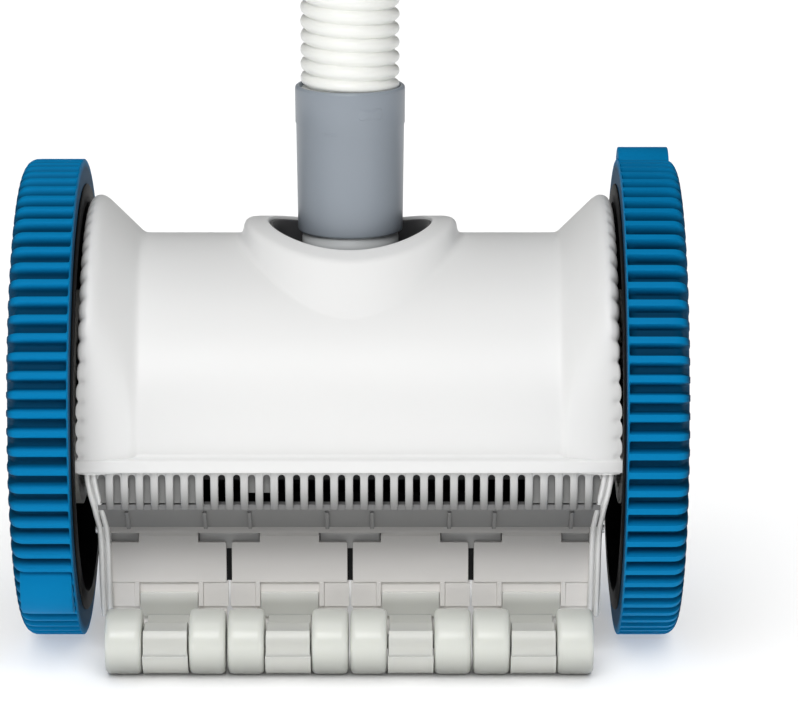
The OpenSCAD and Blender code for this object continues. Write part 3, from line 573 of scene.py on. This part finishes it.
RAIL_IN = 114.2
PANEL_HALF = RAIL_IN + 3.4
WING_PITCH, TONGUE = 57.6, 28.8
KNUCKLE_HALF = (WING_PITCH - TONGUE) / 2
RIB_AT, RIB_HALF = 10.6, 0.9
panel_outline = rounded([(GRILLE_Y + 4.6, 80.4), (-57.2, 65.3), (-55.6, 66.2), (-52.6, 67.4), (-42.2, 67.4),
                         (-42.2, 70.4), (-54.0, 71.0), (GRILLE_Y + 7.4, 82.6)],
                        [0.5, 0.8, 0, 0, 0.4, 0.4, 0, 0.5], 3)
panel = prism(panel_outline, -PANEL_HALF, PANEL_HALF)
put("intake_panel_slope", panel, GREY, "body", ["intake_panel"], bevel=0.3)
rib_outline = [(-73.6, 76.8), (-59.0, 64.9), (-57.0, 66.6), (-71.6, 78.8)]
ribs = Shape()
for i in (-2, -1, 0, 1, 2):
    for s in (-1, 1):
        x = i * WING_PITCH + s * RIB_AT
        if abs(x) < RAIL_IN:
            ribs.add(prism(rib_outline, x - RIB_HALF, x + RIB_HALF))
put("intake_panel_ribs", ribs, GREY, "body", bevel=0.3)
STRIP_HALF = RAIL_IN - 0.2
strip, recess = Shape(), Shape()
for i in (-2, -1, 0, 1, 2):
    x0 = max(i * WING_PITCH - KNUCKLE_HALF, -STRIP_HALF)
    x1 = min(i * WING_PITCH + KNUCKLE_HALF, STRIP_HALF)
    strip.add(block(x0 + 0.15, x1 - 0.15, -51.6, -44.5, 60.8, 66.8))
    recess.add(block(x0 + 0.2, x1 - 0.2, -46.8, -45.4, 52.0, 61.0))
cover = rounded([(-52.75, 61.3), (-52.2, 61.3), (-52.2, 67.0), (-52.75, 67.0)], [0.2, 0.2, 0, 0], 3)
strip.add(prism(cover, -STRIP_HALF, STRIP_HALF))
# the hinge bars take the wing material, with its painted shade darker towards the top
put("wing_hinge_bars", strip, WING_PAINTED_SHADE, "body", bevel=0.25)
# painted shade: the grey back faces stand in for the shade in the recesses
put("wing_hinge_recesses", recess, RECESS_SHADE, "body", bevel=0.25)


# ---------- side plates with their double rails ----------

PLATE_R, PLATE_IN, PLATE_OUT, PLATE_INSET, PLATE_FOOT = 76.2, 117.9, 119.3, 1.2, 20
AXLE_HOLE_R, COUNTER_OFF = 6.2, 25.456


def side_outline():
    """The side plate's outline, its front edge set back from the rails."""
    turns = np.radians(np.linspace(192, -12, 60))
    arc = [(PLATE_R * math.cos(t), AXLE + PLATE_R * math.sin(t)) for t in turns]
    rear = [(77.5, 98), (75.5, 83), (68, 68), (58, 58), (56, 28), (52, PLATE_FOOT)]
    front = [(-53, 23.4), (-54.5, 32), (-55, 56), (-59, 64.4), (-68.5, 72.4), (-76.6, 81), (-80.2, 91),
             (-80.6, 98.4)]
    return arc + rear + [(-49, PLATE_FOOT)] + [(y + PLATE_INSET, z) for y, z in front]


# down the front edge of the left plate: y, z, distance from the middle
RAIL_PATH = [(-80.7, 98.6, 118.3), (-80.6, 94, 117.8), (-80.0, 89, 117.0), (-78.4, 84.2, 116.1),
             (-75.2, 79.6, 115.3), (-70.6, 74.6, 114.8), (-64.4, 69.6, 114.4), (-58.8, 64.6, 114.1),
             (-55.9, 59.2, 113.9), (-55.0, 52.0, 113.7), (-54.8, 42.0, 113.5), (-54.6, 32.0, 113.2),
             (-53.9, 25.2, 113.0), (-52.2, 21.2, 113.0), (-49.2, 19.0, 113.0)]
# across a bead: share of its width, share of its depth from the front
BEAD_FACE = [(0, 1), (0, 0.25), (0.08, 0.08), (0.25, 0), (0.5, -0.03), (0.75, 0), (0.92, 0.08), (1, 0.25),
             (1, 1)]


def smooth_path(points, steps):
    """Catmull-Rom through the points."""
    p = np.array(points, float)
    p = np.vstack([2 * p[0] - p[1], p, 2 * p[-1] - p[-2]])
    out = []
    for i in range(1, len(p) - 2):
        for k in range(steps):
            t = k / steps
            out.append(0.5 * (2 * p[i] + (p[i + 1] - p[i - 1]) * t
                              + (2 * p[i - 1] - 5 * p[i] + 4 * p[i + 1] - p[i + 2]) * t ** 2
                              + (3 * p[i] - p[i - 1] - 3 * p[i + 1] + p[i + 2]) * t ** 3))
    out.append(p[-2])
    return np.array(out)


def rail(offset, width, proud, depth):
    """One raised bead of the rail, its rounded face towards the front."""
    path = smooth_path(RAIL_PATH, 4)
    rings = []
    for i, (y, z, x) in enumerate(path):
        d = path[min(i + 1, len(path) - 1)][:2] - path[max(i - 1, 0)][:2]
        d /= np.linalg.norm(d)
        front = np.array([d[1], -d[0]])
        ring = []
        for u, w in BEAD_FACE:
            q = np.array([y, z]) + front * (proud - w * depth)
            ring.append((-(x + offset + u * width), q[0], q[1]))
        rings.append(ring)
    return grid(rings, wrap_v=True, caps=True)


side = Shape().add(prism(side_outline(), -PLATE_OUT, -PLATE_IN))
for offset, width, proud, depth in ((0.0, 2.6, 0.0, 6.0), (2.5, 0.7, -1.6, 4.0), (3.1, 2.6, 0.3, 6.0)):
    side.add(rail(offset, width, proud, depth))
boss_line = [(-118.2, AXLE_HOLE_R), (-118.2, 12), (-115.2, 12), (-114.6, 11.4), (-114.6, AXLE_HOLE_R)]
for y, z in ((0.0, AXLE), (COUNTER_OFF, AXLE + COUNTER_OFF)):
    side.add(lathe(boss_line, 64, "x", (y, z), closed=True))
for name, plate in (("left", side), ("right", side.mirrored())):
    put(f"side_plate_{name}_body", plate, WHITE, "body", [f"side_plate_{name}"],
        bevel=0.3, angle=50)


# ---------- wings, brackets, rollers ----------

WING_W, LOW_W, FRONT_Y, BACK_Y, STEP_Z = 55.0, 56.6, -51.0, -48.0, 36.3
PLATE_TOP, TONGUE_TOP, PLATE_LOW, WING_FOOT = 56.2, 61.2, 24.0, 8.2
TONGUE_HALF = TONGUE / 2 - 0.2
HINGE_Y, HINGE_Z, HINGE_HOLE_R, KNUCKLE_R = -48, 62, 2.1, 4.0
BRACKET_W, RIB_W, LEDGE_Z, FACE_LOW = 28.0, 2.4, 31.3, 19.2
ROLL_R, ROLL_L, SADDLE_W, ROLL_Y, ROLL_Z = 15.4, 17.4, 21.4, -78.0, 15.4
SADDLE_HIGH_R, SADDLE_LOW_R, SPINDLE_R, SPINDLE_HALF = 14.5, 15.2, 3.4, 12


def wing_shape():
    """The hinged plate with its two lower fields and the ribs beside the bracket."""
    w, half, b, seam = Shape(), WING_W / 2, BRACKET_W / 2, STEP_Z + 0.2
    top = rounded([(-half, STEP_Z), (half, STEP_Z), (half, PLATE_TOP), (TONGUE_HALF, PLATE_TOP),
                   (TONGUE_HALF, TONGUE_TOP), (-TONGUE_HALF, TONGUE_TOP), (-TONGUE_HALF, PLATE_TOP),
                   (-half, PLATE_TOP)], [0, 0, 0.8, 0, 0, 0, 0, 0.8], 4)
    w.add(plate_y(top, FRONT_Y, BACK_Y))
    for s in (-1, 1):
        x0, x1 = sorted((s * (b + RIB_W), s * LOW_W / 2))
        field = rounded([(x0, PLATE_LOW), (x1, PLATE_LOW), (x1, seam), (x0, seam)], [0.5, 0.5, 0, 0], 3)
        w.add(plate_y(field, FRONT_Y + 0.9, BACK_Y))
        x0, x1 = sorted((s * (b + 0.05), s * (b + RIB_W)))
        w.add(block(x0, x1, FRONT_Y - 0.1, BACK_Y, PLATE_LOW + 0.4, seam))
    w.add(block(-b - 0.1, b + 0.1, FRONT_Y + 1.9, BACK_Y, PLATE_LOW - 4, seam))
    w.add(block(-half, half, FRONT_Y + 2.1, FRONT_Y + 3.2, WING_FOOT, PLATE_LOW + 0.6))
    return w


def knuckle_shape():
    """The wing's tube round the hinge rod."""
    half, r = TONGUE_HALF, KNUCKLE_R
    line = [(-half, HINGE_HOLE_R), (-half, r - 0.5), (-half + 0.5, r), (half - 0.5, r), (half, r - 0.5),
            (half, HINGE_HOLE_R)]
    return lathe(line, 48, "x", (HINGE_Y, HINGE_Z), closed=True)


def round_roller(radius, low, high):
    """Points in front of the roller's middle, from the angle low to the angle high."""
    turns = np.radians(np.linspace(low, high, 20))
    return [(ROLL_Y - radius * math.cos(t), ROLL_Z + radius * math.sin(t)) for t in turns]


def bracket_shape():
    """The bracket's face, its arm and the two-step saddle between the rollers."""
    b, half, s = Shape(), BRACKET_W / 2 - 0.25, SADDLE_W / 2
    face = rounded([(-half, FACE_LOW), (half, FACE_LOW), (half, LEDGE_Z), (-half, LEDGE_Z)],
                   [3.6, 3.6, 0.5, 0.5], 6)
    b.add(plate_y(face, FRONT_Y - 0.3, FRONT_Y + 1.9))
    arm = rounded([(FRONT_Y + 1, 10.0), (FRONT_Y + 1, 20.6), (ROLL_Y + 12, 17.6), (ROLL_Y + 6.5, 22.5),
                   (ROLL_Y - 1.0, 25.2), (ROLL_Y - 9.0, 22.6), (ROLL_Y, 14.0), (ROLL_Y + 8, 8.0)],
                  [0, 1.5, 2.0, 1.2, 1.5, 0, 0, 0], 4)
    b.add(prism(arm, -s + 0.6, s - 0.6))
    high = [(ROLL_Y + 2, ROLL_Z - 3.4)] + round_roller(SADDLE_HIGH_R, -14, 38)
    high += [(ROLL_Y - 7.4, ROLL_Z + 7.4), (ROLL_Y + 2, ROLL_Z + 6.0)]
    b.add(prism(high, -s + 0.35, s - 0.35))
    low = [(ROLL_Y + 6, ROLL_Z - 13.6)] + round_roller(SADDLE_LOW_R, -66, -11.5)
    low += [(ROLL_Y - 13, ROLL_Z - 2.3), (ROLL_Y + 6, ROLL_Z - 2.3)]
    b.add(prism(low, -s, s))
    return b


def roller_shape():
    """Two rollers with rounded rims on one spindle."""
    spindle = [(-SPINDLE_HALF, 0), (-SPINDLE_HALF, SPINDLE_R), (SPINDLE_HALF, SPINDLE_R), (SPINDLE_HALF, 0)]
    out = Shape().add(lathe(spindle, 32, "x", (ROLL_Y, ROLL_Z)))
    x0, r = SADDLE_W / 2 + 0.35, ROLL_R
    x1 = x0 + ROLL_L - 0.15
    rim = [(0, r - 2.6), (0.25, r - 1.5), (0.9, r - 0.6), (2.0, r - 0.12), (3.4, r)]
    line = [(x0, 0)] + [(x0 + d, q) for d, q in rim] + [(x1 - d, q) for d, q in reversed(rim)]
    line += [(x1, 6.5), (x1 - 0.8, 6.0), (x1 - 0.8, 0)]
    for s in (-1, 1):
        out.add(lathe([(s * x, q) for x, q in line], 96, "x", (ROLL_Y, ROLL_Z)))
    return out


wing, knuckle, bracket, pair = wing_shape(), Shape().add(knuckle_shape()), bracket_shape(), roller_shape()
for i in (1, 2, 3, 4):
    x = (i - 2.5) * WING_PITCH
    put(f"wing_{i}_plate", wing.moved(x), WING_PAINTED_SHADE, f"wing{i}", [f"wing_{i}"], bevel=0.3, seg=2)
    put(f"wing_{i}_knuckle", knuckle.moved(x), WING_PAINTED_SHADE, f"wing{i}")
    put(f"roller_bracket_{i}_arm", bracket.moved(x), BRACKET_PAINTED_SHADE, f"wing{i}",
        [f"roller_bracket_{i}"], bevel=0.4, seg=3)
    put(f"rollers_{i}_pair", pair.moved(x), ROLLER_PAINTED_SHADE, f"roller_pair{i}", [f"rollers_{i}"])


# ---------- wheels ----------

TYRE_X, TREADS, SAMPLES, SCOOP, END_IN = 128, 80, 12, 5.2, 2.4
# across the tyre: x from its inner face, radius, share of the scoop's depth, share of its opening outwards
TYRE_LINE = [(0, 100, 0, 0), (0, 106, 0, 0), (0, 112.6, 0, 0), (0.2, 114.2, 0, 0), (0.6, AXLE, 0.02, 0),
             (0.9, AXLE, 0.3, 0), (1.2, AXLE, 0.8, 0), (1.6, AXLE, 1, 0), (5, AXLE, 1, 0), (9, AXLE, 1, 0),
             (13, AXLE, 1, 0), (17, AXLE, 1, 0), (21, AXLE, 1, 0), (23.4, 114.9, 1, 0.1),
             (25.2, 114.3, 0.95, 0.4), (26.7, 113.2, 0.85, 0.7), (27.8, 111.6, 0.7, 0.9),
             (28.6, 109.6, 0.5, 1), (29, 107, 0.25, 0.9), (29, 104.5, 0.1, 0.5), (29, 102, 0, 0),
             (28.4, 100, 0, 0)]
HUMP_AT_R, HUMP_R, HUMP_X0, HUMP_X1, HUMP_FOOT_R = 103, 18, 129.1, 153.3, 104.0


def tyre_shape(hump_deg, phase):
    """The tread's ridges and scoops all round, and the one raised hump."""
    rings = []
    for k in range(TREADS * SAMPLES):
        p = (k / SAMPLES + phase) % 1.0
        away = min(p, 1 - p)
        scoop = float(smoothstep(0.16, 0.33, away))
        a = 2 * math.pi * k / (TREADS * SAMPLES)
        ring = []
        for x, r, share, opening in TYRE_LINE:
            q = r - SCOOP * scoop * share
            ring.append((TYRE_X + x - END_IN * scoop * opening, -q * math.cos(a), AXLE + q * math.sin(a)))
        rings.append(ring)
    out = Shape().add(grid(rings, wrap_u=True, wrap_v=True))
    h = math.radians(hump_deg)
    centre = (-HUMP_AT_R * math.cos(h), AXLE + HUMP_AT_R * math.sin(h))
    edge = [(0, HUMP_R - 0.8), (0.1, HUMP_R - 0.3), (0.5, HUMP_R)]
    line = [(HUMP_X0, 0)] + [(HUMP_X0 + d, r) for d, r in edge]
    line += [(HUMP_X1 - d, r) for d, r in reversed(edge)] + [(HUMP_X1, 0)]
    verts, faces = lathe(line, 96, "x", centre)
    held = []
    for x, y, z in verts:
        k = max(1.0, HUMP_FOOT_R / math.hypot(y, z - AXLE))
        held.append((x, y * k, AXLE + (z - AXLE) * k))
    return out.add((held, faces))


BORE_R, RIM_R, SPOKES, SPOKE_HALF, CAP_R = 9.2, 94.0, 12, 1.7, 22.0
# outlines of the right wheel: x, radius
RIM_LINE = [(126.8, RIM_R + 0.2), (126.8, 102.2), (127.4, 103), (127.9, 103), (127.9, 99.9), (156.0, 99.9),
            (156.6, 99.2), (156.6, RIM_R + 0.6), (156.0, RIM_R), (127.4, RIM_R)]
WEB_LINE = [(142.2, BORE_R), (142.2, RIM_R + 0.5), (145.9, RIM_R + 0.5), (145.9, 24.5), (146.6, 23.6),
            (149.5, 23.6), (150.0, 23.0), (150.0, BORE_R)]
SLEEVE_LINE = [(128.4, BORE_R), (128.4, 14.6), (129.0, 15.0), (142.4, 15.0), (142.4, BORE_R)]
BEAD_LINE = [(145.6, 58.5), (148.4, 58.5), (148.9, 59.2), (148.9, 61.8), (148.4, 62.5), (145.6, 62.5)]
CAP_LINE = [(146.0, 20.0), (146.0, CAP_R), (153.2, CAP_R), (154.3, 21.3), (155.1, 19.0), (155.6, 14.0),
            (155.9, 8.0), (156.0, 0)]
CAP_RING = [(155.2, 11.2), (156.2, 11.2), (156.5, 10.8), (156.5, 9.6), (156.2, 9.2), (155.2, 9.2)]
# along a spoke: radius, x
SPOKE_LINE = rounded([(22.5, 145.6), (94.6, 145.6), (94.6, 153.2), (64, 149.6), (30, 149.6), (22.5, 149.9)],
                     [0, 0, 1, 3, 2, 0], 4)


def hub_shape():
    """The rim, the web, the sleeve round the bush and the bead on the web."""
    out = Shape()
    for line, sides in ((RIM_LINE, 192), (WEB_LINE, 160), (SLEEVE_LINE, 64), (BEAD_LINE, 128)):
        out.add(lathe(line, sides, "x", (0, AXLE), closed=True))
    return out


def spokes_shape():
    """Thin ribs standing on the web, drawn along one radius and turned round the axle."""
    out = Shape()
    for k in range(SPOKES):
        a = 2 * math.pi * k / SPOKES
        c, s = math.cos(a), math.sin(a)
        verts, faces = prism(SPOKE_LINE, -SPOKE_HALF, SPOKE_HALF)
        out.add(([(x, t * -s + r * c, AXLE + t * c + r * s) for t, r, x in verts], faces))
    return out


def cap_shape():
    """The domed cap over the axle's screw, with a raised ring."""
    out = Shape().add(lathe(CAP_LINE, 96, "x", (0, AXLE)))
    return out.add(lathe(CAP_RING, 64, "x", (0, AXLE), closed=True))


def put_wheel(name, hump_deg, phase, on_left):
    """One wheel's tyre, hub, spokes and cap; all are drawn for the right and mirrored for the left."""
    tyre, hub, spokes, cap = tyre_shape(hump_deg, phase), hub_shape(), spokes_shape(), cap_shape()
    if on_left:
        tyre, hub, spokes, cap = tyre.mirrored(), hub.mirrored(), spokes.mirrored(), cap.mirrored()
    body = f"wheel_{name}"
    put(f"tyre_{name}_tread", tyre, BLUE_PAINTED_GROOVE_SHADE, body, [f"tyre_{name}"], sharp=70)
    put(f"hub_{name}_rim", hub, HUB, body, [f"hub_{name}"], sharp=45)
    put(f"hub_{name}_spokes", spokes, HUB, body, bevel=0.5, seg=2)
    put(f"hub_cap_{name}_dome", cap, HUB, body, [f"hub_cap_{name}"])


put_wheel("left", -40.5, 0.81, True)
put_wheel("right", 104.5, 0.0, False)


# ---------- neck, cuff, hose ----------

NECK_R, NECK_BORE, NECK_TOP, FLANGE_R = 22.8, 19.5, 240, 29.0
# up the neck: z, radius
neck_line = [(177.1, NECK_BORE), (177.1, 28.6), (177.5, FLANGE_R), (179.7, FLANGE_R), (180.1, 28.6),
             (180.1, 23.3), (180.6, NECK_R), (191.5, NECK_R), (191.9, 23.05), (194.6, 23.05), (195.0, NECK_R),
             (239.6, NECK_R), (NECK_TOP, 22.4), (NECK_TOP, NECK_BORE)]
neck = lathe(neck_line, 128, "z", closed=True)
put("neck_tube_swivel", neck, NECK, "neck", ["neck_tube"])

CUFF_Z, CUFF_TOP, CUFF_R = 198.0, 268.0, 26.15
cuff_line = [(CUFF_Z, 22.9), (CUFF_Z, 24.3), (CUFF_Z + 0.3, 24.8), (CUFF_Z + 1.0, 25.05), (CUFF_Z + 20, 25.3),
             (CUFF_Z + 51.5, 25.75), (CUFF_Z + 52.3, 26.1), (CUFF_TOP - 1.4, 26.2), (CUFF_TOP - 0.5, 25.95),
             (CUFF_TOP, 25.3), (CUFF_TOP, 24.4), (CUFF_TOP - 0.5, 24.05), (CUFF_TOP - 10, 24.0),
             (CUFF_TOP - 10, 20.6), (NECK_TOP, 20.6), (NECK_TOP, 22.9)]
cuff = Shape().add(lathe(cuff_line, 160, "z", closed=True))


def cuff_mark(cx, z, half_w, half_h, radius, proud, n=22):
    """A small rounded pad raised on the cuff's front."""
    rings = []
    corners = [(-half_w, -half_h), (half_w, -half_h), (half_w, half_h), (-half_w, half_h)]
    outline = rounded(corners, min(half_w, half_h) * 0.9, n)
    for scale, lift in ((1.08, -0.4), (1.0, proud * 0.6), (0.93, proud), (0.0, proud)):
        ring = []
        for u, w in outline:
            a = (cx + u * scale) / radius
            r = radius + lift
            ring.append((r * math.sin(a), -r * math.cos(a), z + w * scale))
        rings.append(ring)
    return grid(rings, wrap_v=True)


cuff.add(cuff_mark(10.4, 257.6, 6.2, 2.6, CUFF_R, 0.3))
cuff.add(cuff_mark(-9.6, 247.8, 3.4, 0.45, 25.75, 0.25, 6))
put("hose_cuff_body", cuff, CUFF, "neck", ["hose_cuff"], sharp=60)

HOSE_POINTS = [(0, 0, 258), (0, 0, 290), (0, 0, 330), (0, 6, 380), (0, 26, 426), (-1, 56, 466), (-2, 96, 496),
               (-2, 142, 516), (-3, 192, 522), (-3, 242, 516), (-4, 288, 496), (-4, 328, 466), (-5, 358, 426),
               (-5, 378, 380), (-5, 384, 330), (-5, 384, 270), (-5, 384, 210), (-5, 384, 150), (-5, 384, 90),
               (-5, 384, 40), (-5, 384, 12)]
RIB_PITCH, RING_STEP, HOSE_R, GROOVE, GROOVE_WIDTH, CROWN = 6.78, 0.7, 23.6, 1.9, 0.15, 0.35
HOSE_SIDES = 40
route = smooth_path(HOSE_POINTS, 40)
run = np.concatenate([[0], np.cumsum(np.linalg.norm(np.diff(route, axis=0), axis=1))])
HOSE_LENGTH = float(run[-1])
stations = np.linspace(0, HOSE_LENGTH, int(HOSE_LENGTH / RING_STEP))
centres = np.stack([np.interp(stations, run, route[:, k]) for k in range(3)], 1)
ways = np.gradient(centres, axis=0)
ways /= np.linalg.norm(ways, axis=1)[:, None]
across = np.array([1.0, 0, 0]) - ways * ways[:, :1]
across /= np.linalg.norm(across, axis=1)[:, None]
other = np.cross(ways, across)
turn = np.arange(HOSE_SIDES) * 2 * math.pi / HOSE_SIDES
hose_rings = []
for s, c, u, w in zip(stations, centres, across, other):
    phase = (s / RIB_PITCH + turn / (2 * math.pi)) % 1.0
    groove = np.exp(-((np.minimum(phase, 1 - phase) / GROOVE_WIDTH) ** 2))
    crown = CROWN * np.cos((phase - 0.5) * 2 * math.pi)
    r = HOSE_R - CROWN + crown - GROOVE * groove
    hose_rings.append(c + r[:, None] * (np.cos(turn)[:, None] * u + np.sin(turn)[:, None] * w))
hose = put("hose_corrugated", grid(hose_rings, wrap_v=True, caps=True), HOSE, "neck", ["hose"],
           sharp=80)

end = HOSE_POINTS[-1]
GRIP_RIBS, HOSE_BORE = 24, 19.4
# up the end cuff: z, radius
end_line = [(0.3, HOSE_BORE), (0, 20), (0, 24.2), (0.6, 24.8), (2.0, 26.0), (18, CUFF_R), (19, 25.6),
            (21, 25.6), (22, CUFF_R), (68.4, CUFF_R), (69.6, 25.6), (70, 24.8), (70, 24.4), (69.5, 24.0),
            (12.2, 24.0), (12.0, HOSE_BORE)]
end_cuff = Shape().add(lathe(end_line, 128, "z", (end[0], end[1]), closed=True))
bar_verts, bar_faces = plate_y(rounded([(-0.8, 26), (0.8, 26), (0.8, 62), (-0.8, 62)], 0.7, 3), 25.9, 26.7)
for k in range(GRIP_RIBS):
    a = 2 * math.pi * k / GRIP_RIBS
    c, s = math.cos(a), math.sin(a)
    end_cuff.add(([(end[0] + y * c - x * s, end[1] + y * s + x * c, z) for x, y, z in bar_verts], bar_faces))
end_piece = put("hose_end_cuff_body", end_cuff, CUFF, "neck", ["hose_end_cuff"], sharp=60)


# ---------- rear and inner pieces ----------

LOUVRES_EACH_SIDE, LOUVRE_PITCH, LOUVRE_HALF = 8, 11.0, 3.4
from_cad("rear_cover", "rear_cover_panel", WHITE, "body", 0.5)
louvre_outline = rounded([(77.0, 84.6), (77.4, 83.8), (80.2, 97.2), (79.4, 97.8)], 0.3, 3)
louvres = Shape()
for k in range(-LOUVRES_EACH_SIDE, LOUVRES_EACH_SIDE + 1):
    x = k * LOUVRE_PITCH
    louvres.add(prism(louvre_outline, x - LOUVRE_HALF, x + LOUVRE_HALF))
put("rear_cover_ribs", louvres, WHITE, "body", bevel=0.35)
# the rear flap takes the wing material, with its painted shade darker towards the top
from_cad("rear_flap", "rear_flap_panel", WING_PAINTED_SHADE, "tail", 0.4)
# Painted shade: a dark strip riding on the flap, standing in for the shade seen through the gap under the
# body.
SHADE_STRIP_HALF, SHADE_STRIP_LOW, SHADE_STRIP_HIGH = 115.5, 8.0, 45.0
shade_strip_outline = rounded([(47.9, SHADE_STRIP_LOW), (48.45, SHADE_STRIP_LOW), (48.45, SHADE_STRIP_HIGH), (47.9, SHADE_STRIP_HIGH)],
                        0.2, 2)
put("rear_flap_shade_strip", prism(shade_strip_outline, -SHADE_STRIP_HALF, SHADE_STRIP_HALF), SEAL, "tail")
for node_name, bevel in (("turbine_chamber", 0.5), ("chamber_ends", 0.5), ("intake_throat", 0.4),
                         ("deck_plate", 0.4), ("base_plate", 0.4), ("outlet_duct", 0.4)):
    from_cad(node_name, node_name + "_body", BLACK, "body", bevel)

# the CAD nodes that show their own shape; those not named here are acetal
# turbine_vanes take the wing material, with its painted shade darker towards the top
FINISH = {"stub_axles": STEEL, "wheel_screws": STEEL, "shaft_bushes": STEEL, "wing_rod": STEEL,
          "rear_rod": STEEL, "cover_screws": STEEL, "turbine_shaft": STEEL, "counter_shaft_left": STEEL,
          "counter_shaft_right": STEEL, "neck_seal": SEAL, "turbine_vanes": WING_PAINTED_SHADE}
for node_name, ob in frame["nodes"].items():
    if not ob.hide_render:
        ob.data.materials.clear()
        ob.data.materials.append(FINISH.get(node_name, ACETAL))


# ---------- floor, light, camera ----------

# metres from here on
AIM = (0, 0, 0.14)
FAR = 40


def area(name, at, size, power):
    """A rectangular light at a place, turned to the cleaner."""
    data = bpy.data.lights.new(name, "AREA")
    data.shape, data.size, data.size_y = "RECTANGLE", size[0], size[1]
    data.energy = power
    ob = bpy.data.objects.new(name, data)
    scene.collection.objects.link(ob)
    ob.location = at
    ob.rotation_mode = "QUATERNION"
    ob.rotation_quaternion = (Vector(AIM) - Vector(at)).to_track_quat("-Z", "Y")
    return ob


def floor_sun(name, power, spread, at, lean):
    """A wide sun that lights only the floor and leans by an angle from straight down."""
    data = bpy.data.lights.new(name, "SUN")
    data.energy, data.angle = power, math.radians(spread)
    ob = bpy.data.objects.new(name, data)
    scene.collection.objects.link(ob)
    ob.location = at
    ob.rotation_euler = (math.radians(lean), 0, 0)
    ob.light_linking.receiver_collection = only_floor
    return ob


ground_mesh = bpy.data.meshes.new("studio_floor")
ground_mesh.from_pydata([(-FAR, -FAR, 0), (FAR, -FAR, 0), (FAR, FAR, 0), (-FAR, FAR, 0)], [], [(0, 1, 2, 3)])
ground = bpy.data.objects.new("studio_floor", ground_mesh)
scene.collection.objects.link(ground)
paper = moulded("studio_paper", (250, 250, 250), rough=0.9, shade=0.0, bump=0.0)
ground_mesh.materials.append(paper)

world = bpy.data.worlds.new("studio")
scene.world = world
world.use_nodes = True
world.node_tree.nodes["Background"].inputs["Color"].default_value = (1, 1, 1, 1)
world.node_tree.nodes["Background"].inputs["Strength"].default_value = 0.10

key = area("key_front", (-0.45, -2.55, 2.15), (2.0, 1.2), 55)
top = area("top_soft", (-0.2, -0.7, 2.4), (1.6, 1.2), 12)
no_floor = bpy.data.collections.new("studio_skips")
no_floor.objects.link(ground)
for lamp in (key, top):
    lamp.light_linking.receiver_collection = no_floor
no_floor.collection_objects[0].light_linking.link_state = "EXCLUDE"

only_floor = bpy.data.collections.new("lit_floor")
only_floor.objects.link(ground)
low_pieces = bpy.data.collections.new("low_pieces")
for ob in scene.objects:
    if ob.name.startswith(("rollers_", "roller_bracket_", "wing_")) and not ob.hide_render:
        low_pieces.objects.link(ob)
floor_sun("floor_light", 2.7, 76, (0, -2, 2), 48)
high = floor_sun("floor_light_high", 1.7, 70, (0, 0.3, 3), -24)
high.light_linking.blocker_collection = low_pieces

# millimetres and degrees
CAMERA_X, DISTANCE, RISE, TILT = 23.3, 2000.0, 14.0, 13.37
SENSOR_WIDTH, FOCAL_LENGTH = 36, 186.2
cam_data = bpy.data.cameras.new("camera")
cam = bpy.data.objects.new("camera", cam_data)
scene.collection.objects.link(cam)
scene.camera = cam
cam_data.sensor_width = SENSOR_WIDTH
cam_data.lens = FOCAL_LENGTH
cam_data.clip_start, cam_data.clip_end = 0.05, 200
rise, tilt = math.radians(RISE), math.radians(TILT)
cam.location = (CAMERA_X * MM, -DISTANCE * math.cos(rise) * MM, (AXLE + DISTANCE * math.sin(rise)) * MM)
cam.rotation_euler = (math.pi / 2 - tilt, 0, 0)
scene.view_settings.view_transform = "Standard"
scene.view_settings.look = "None"
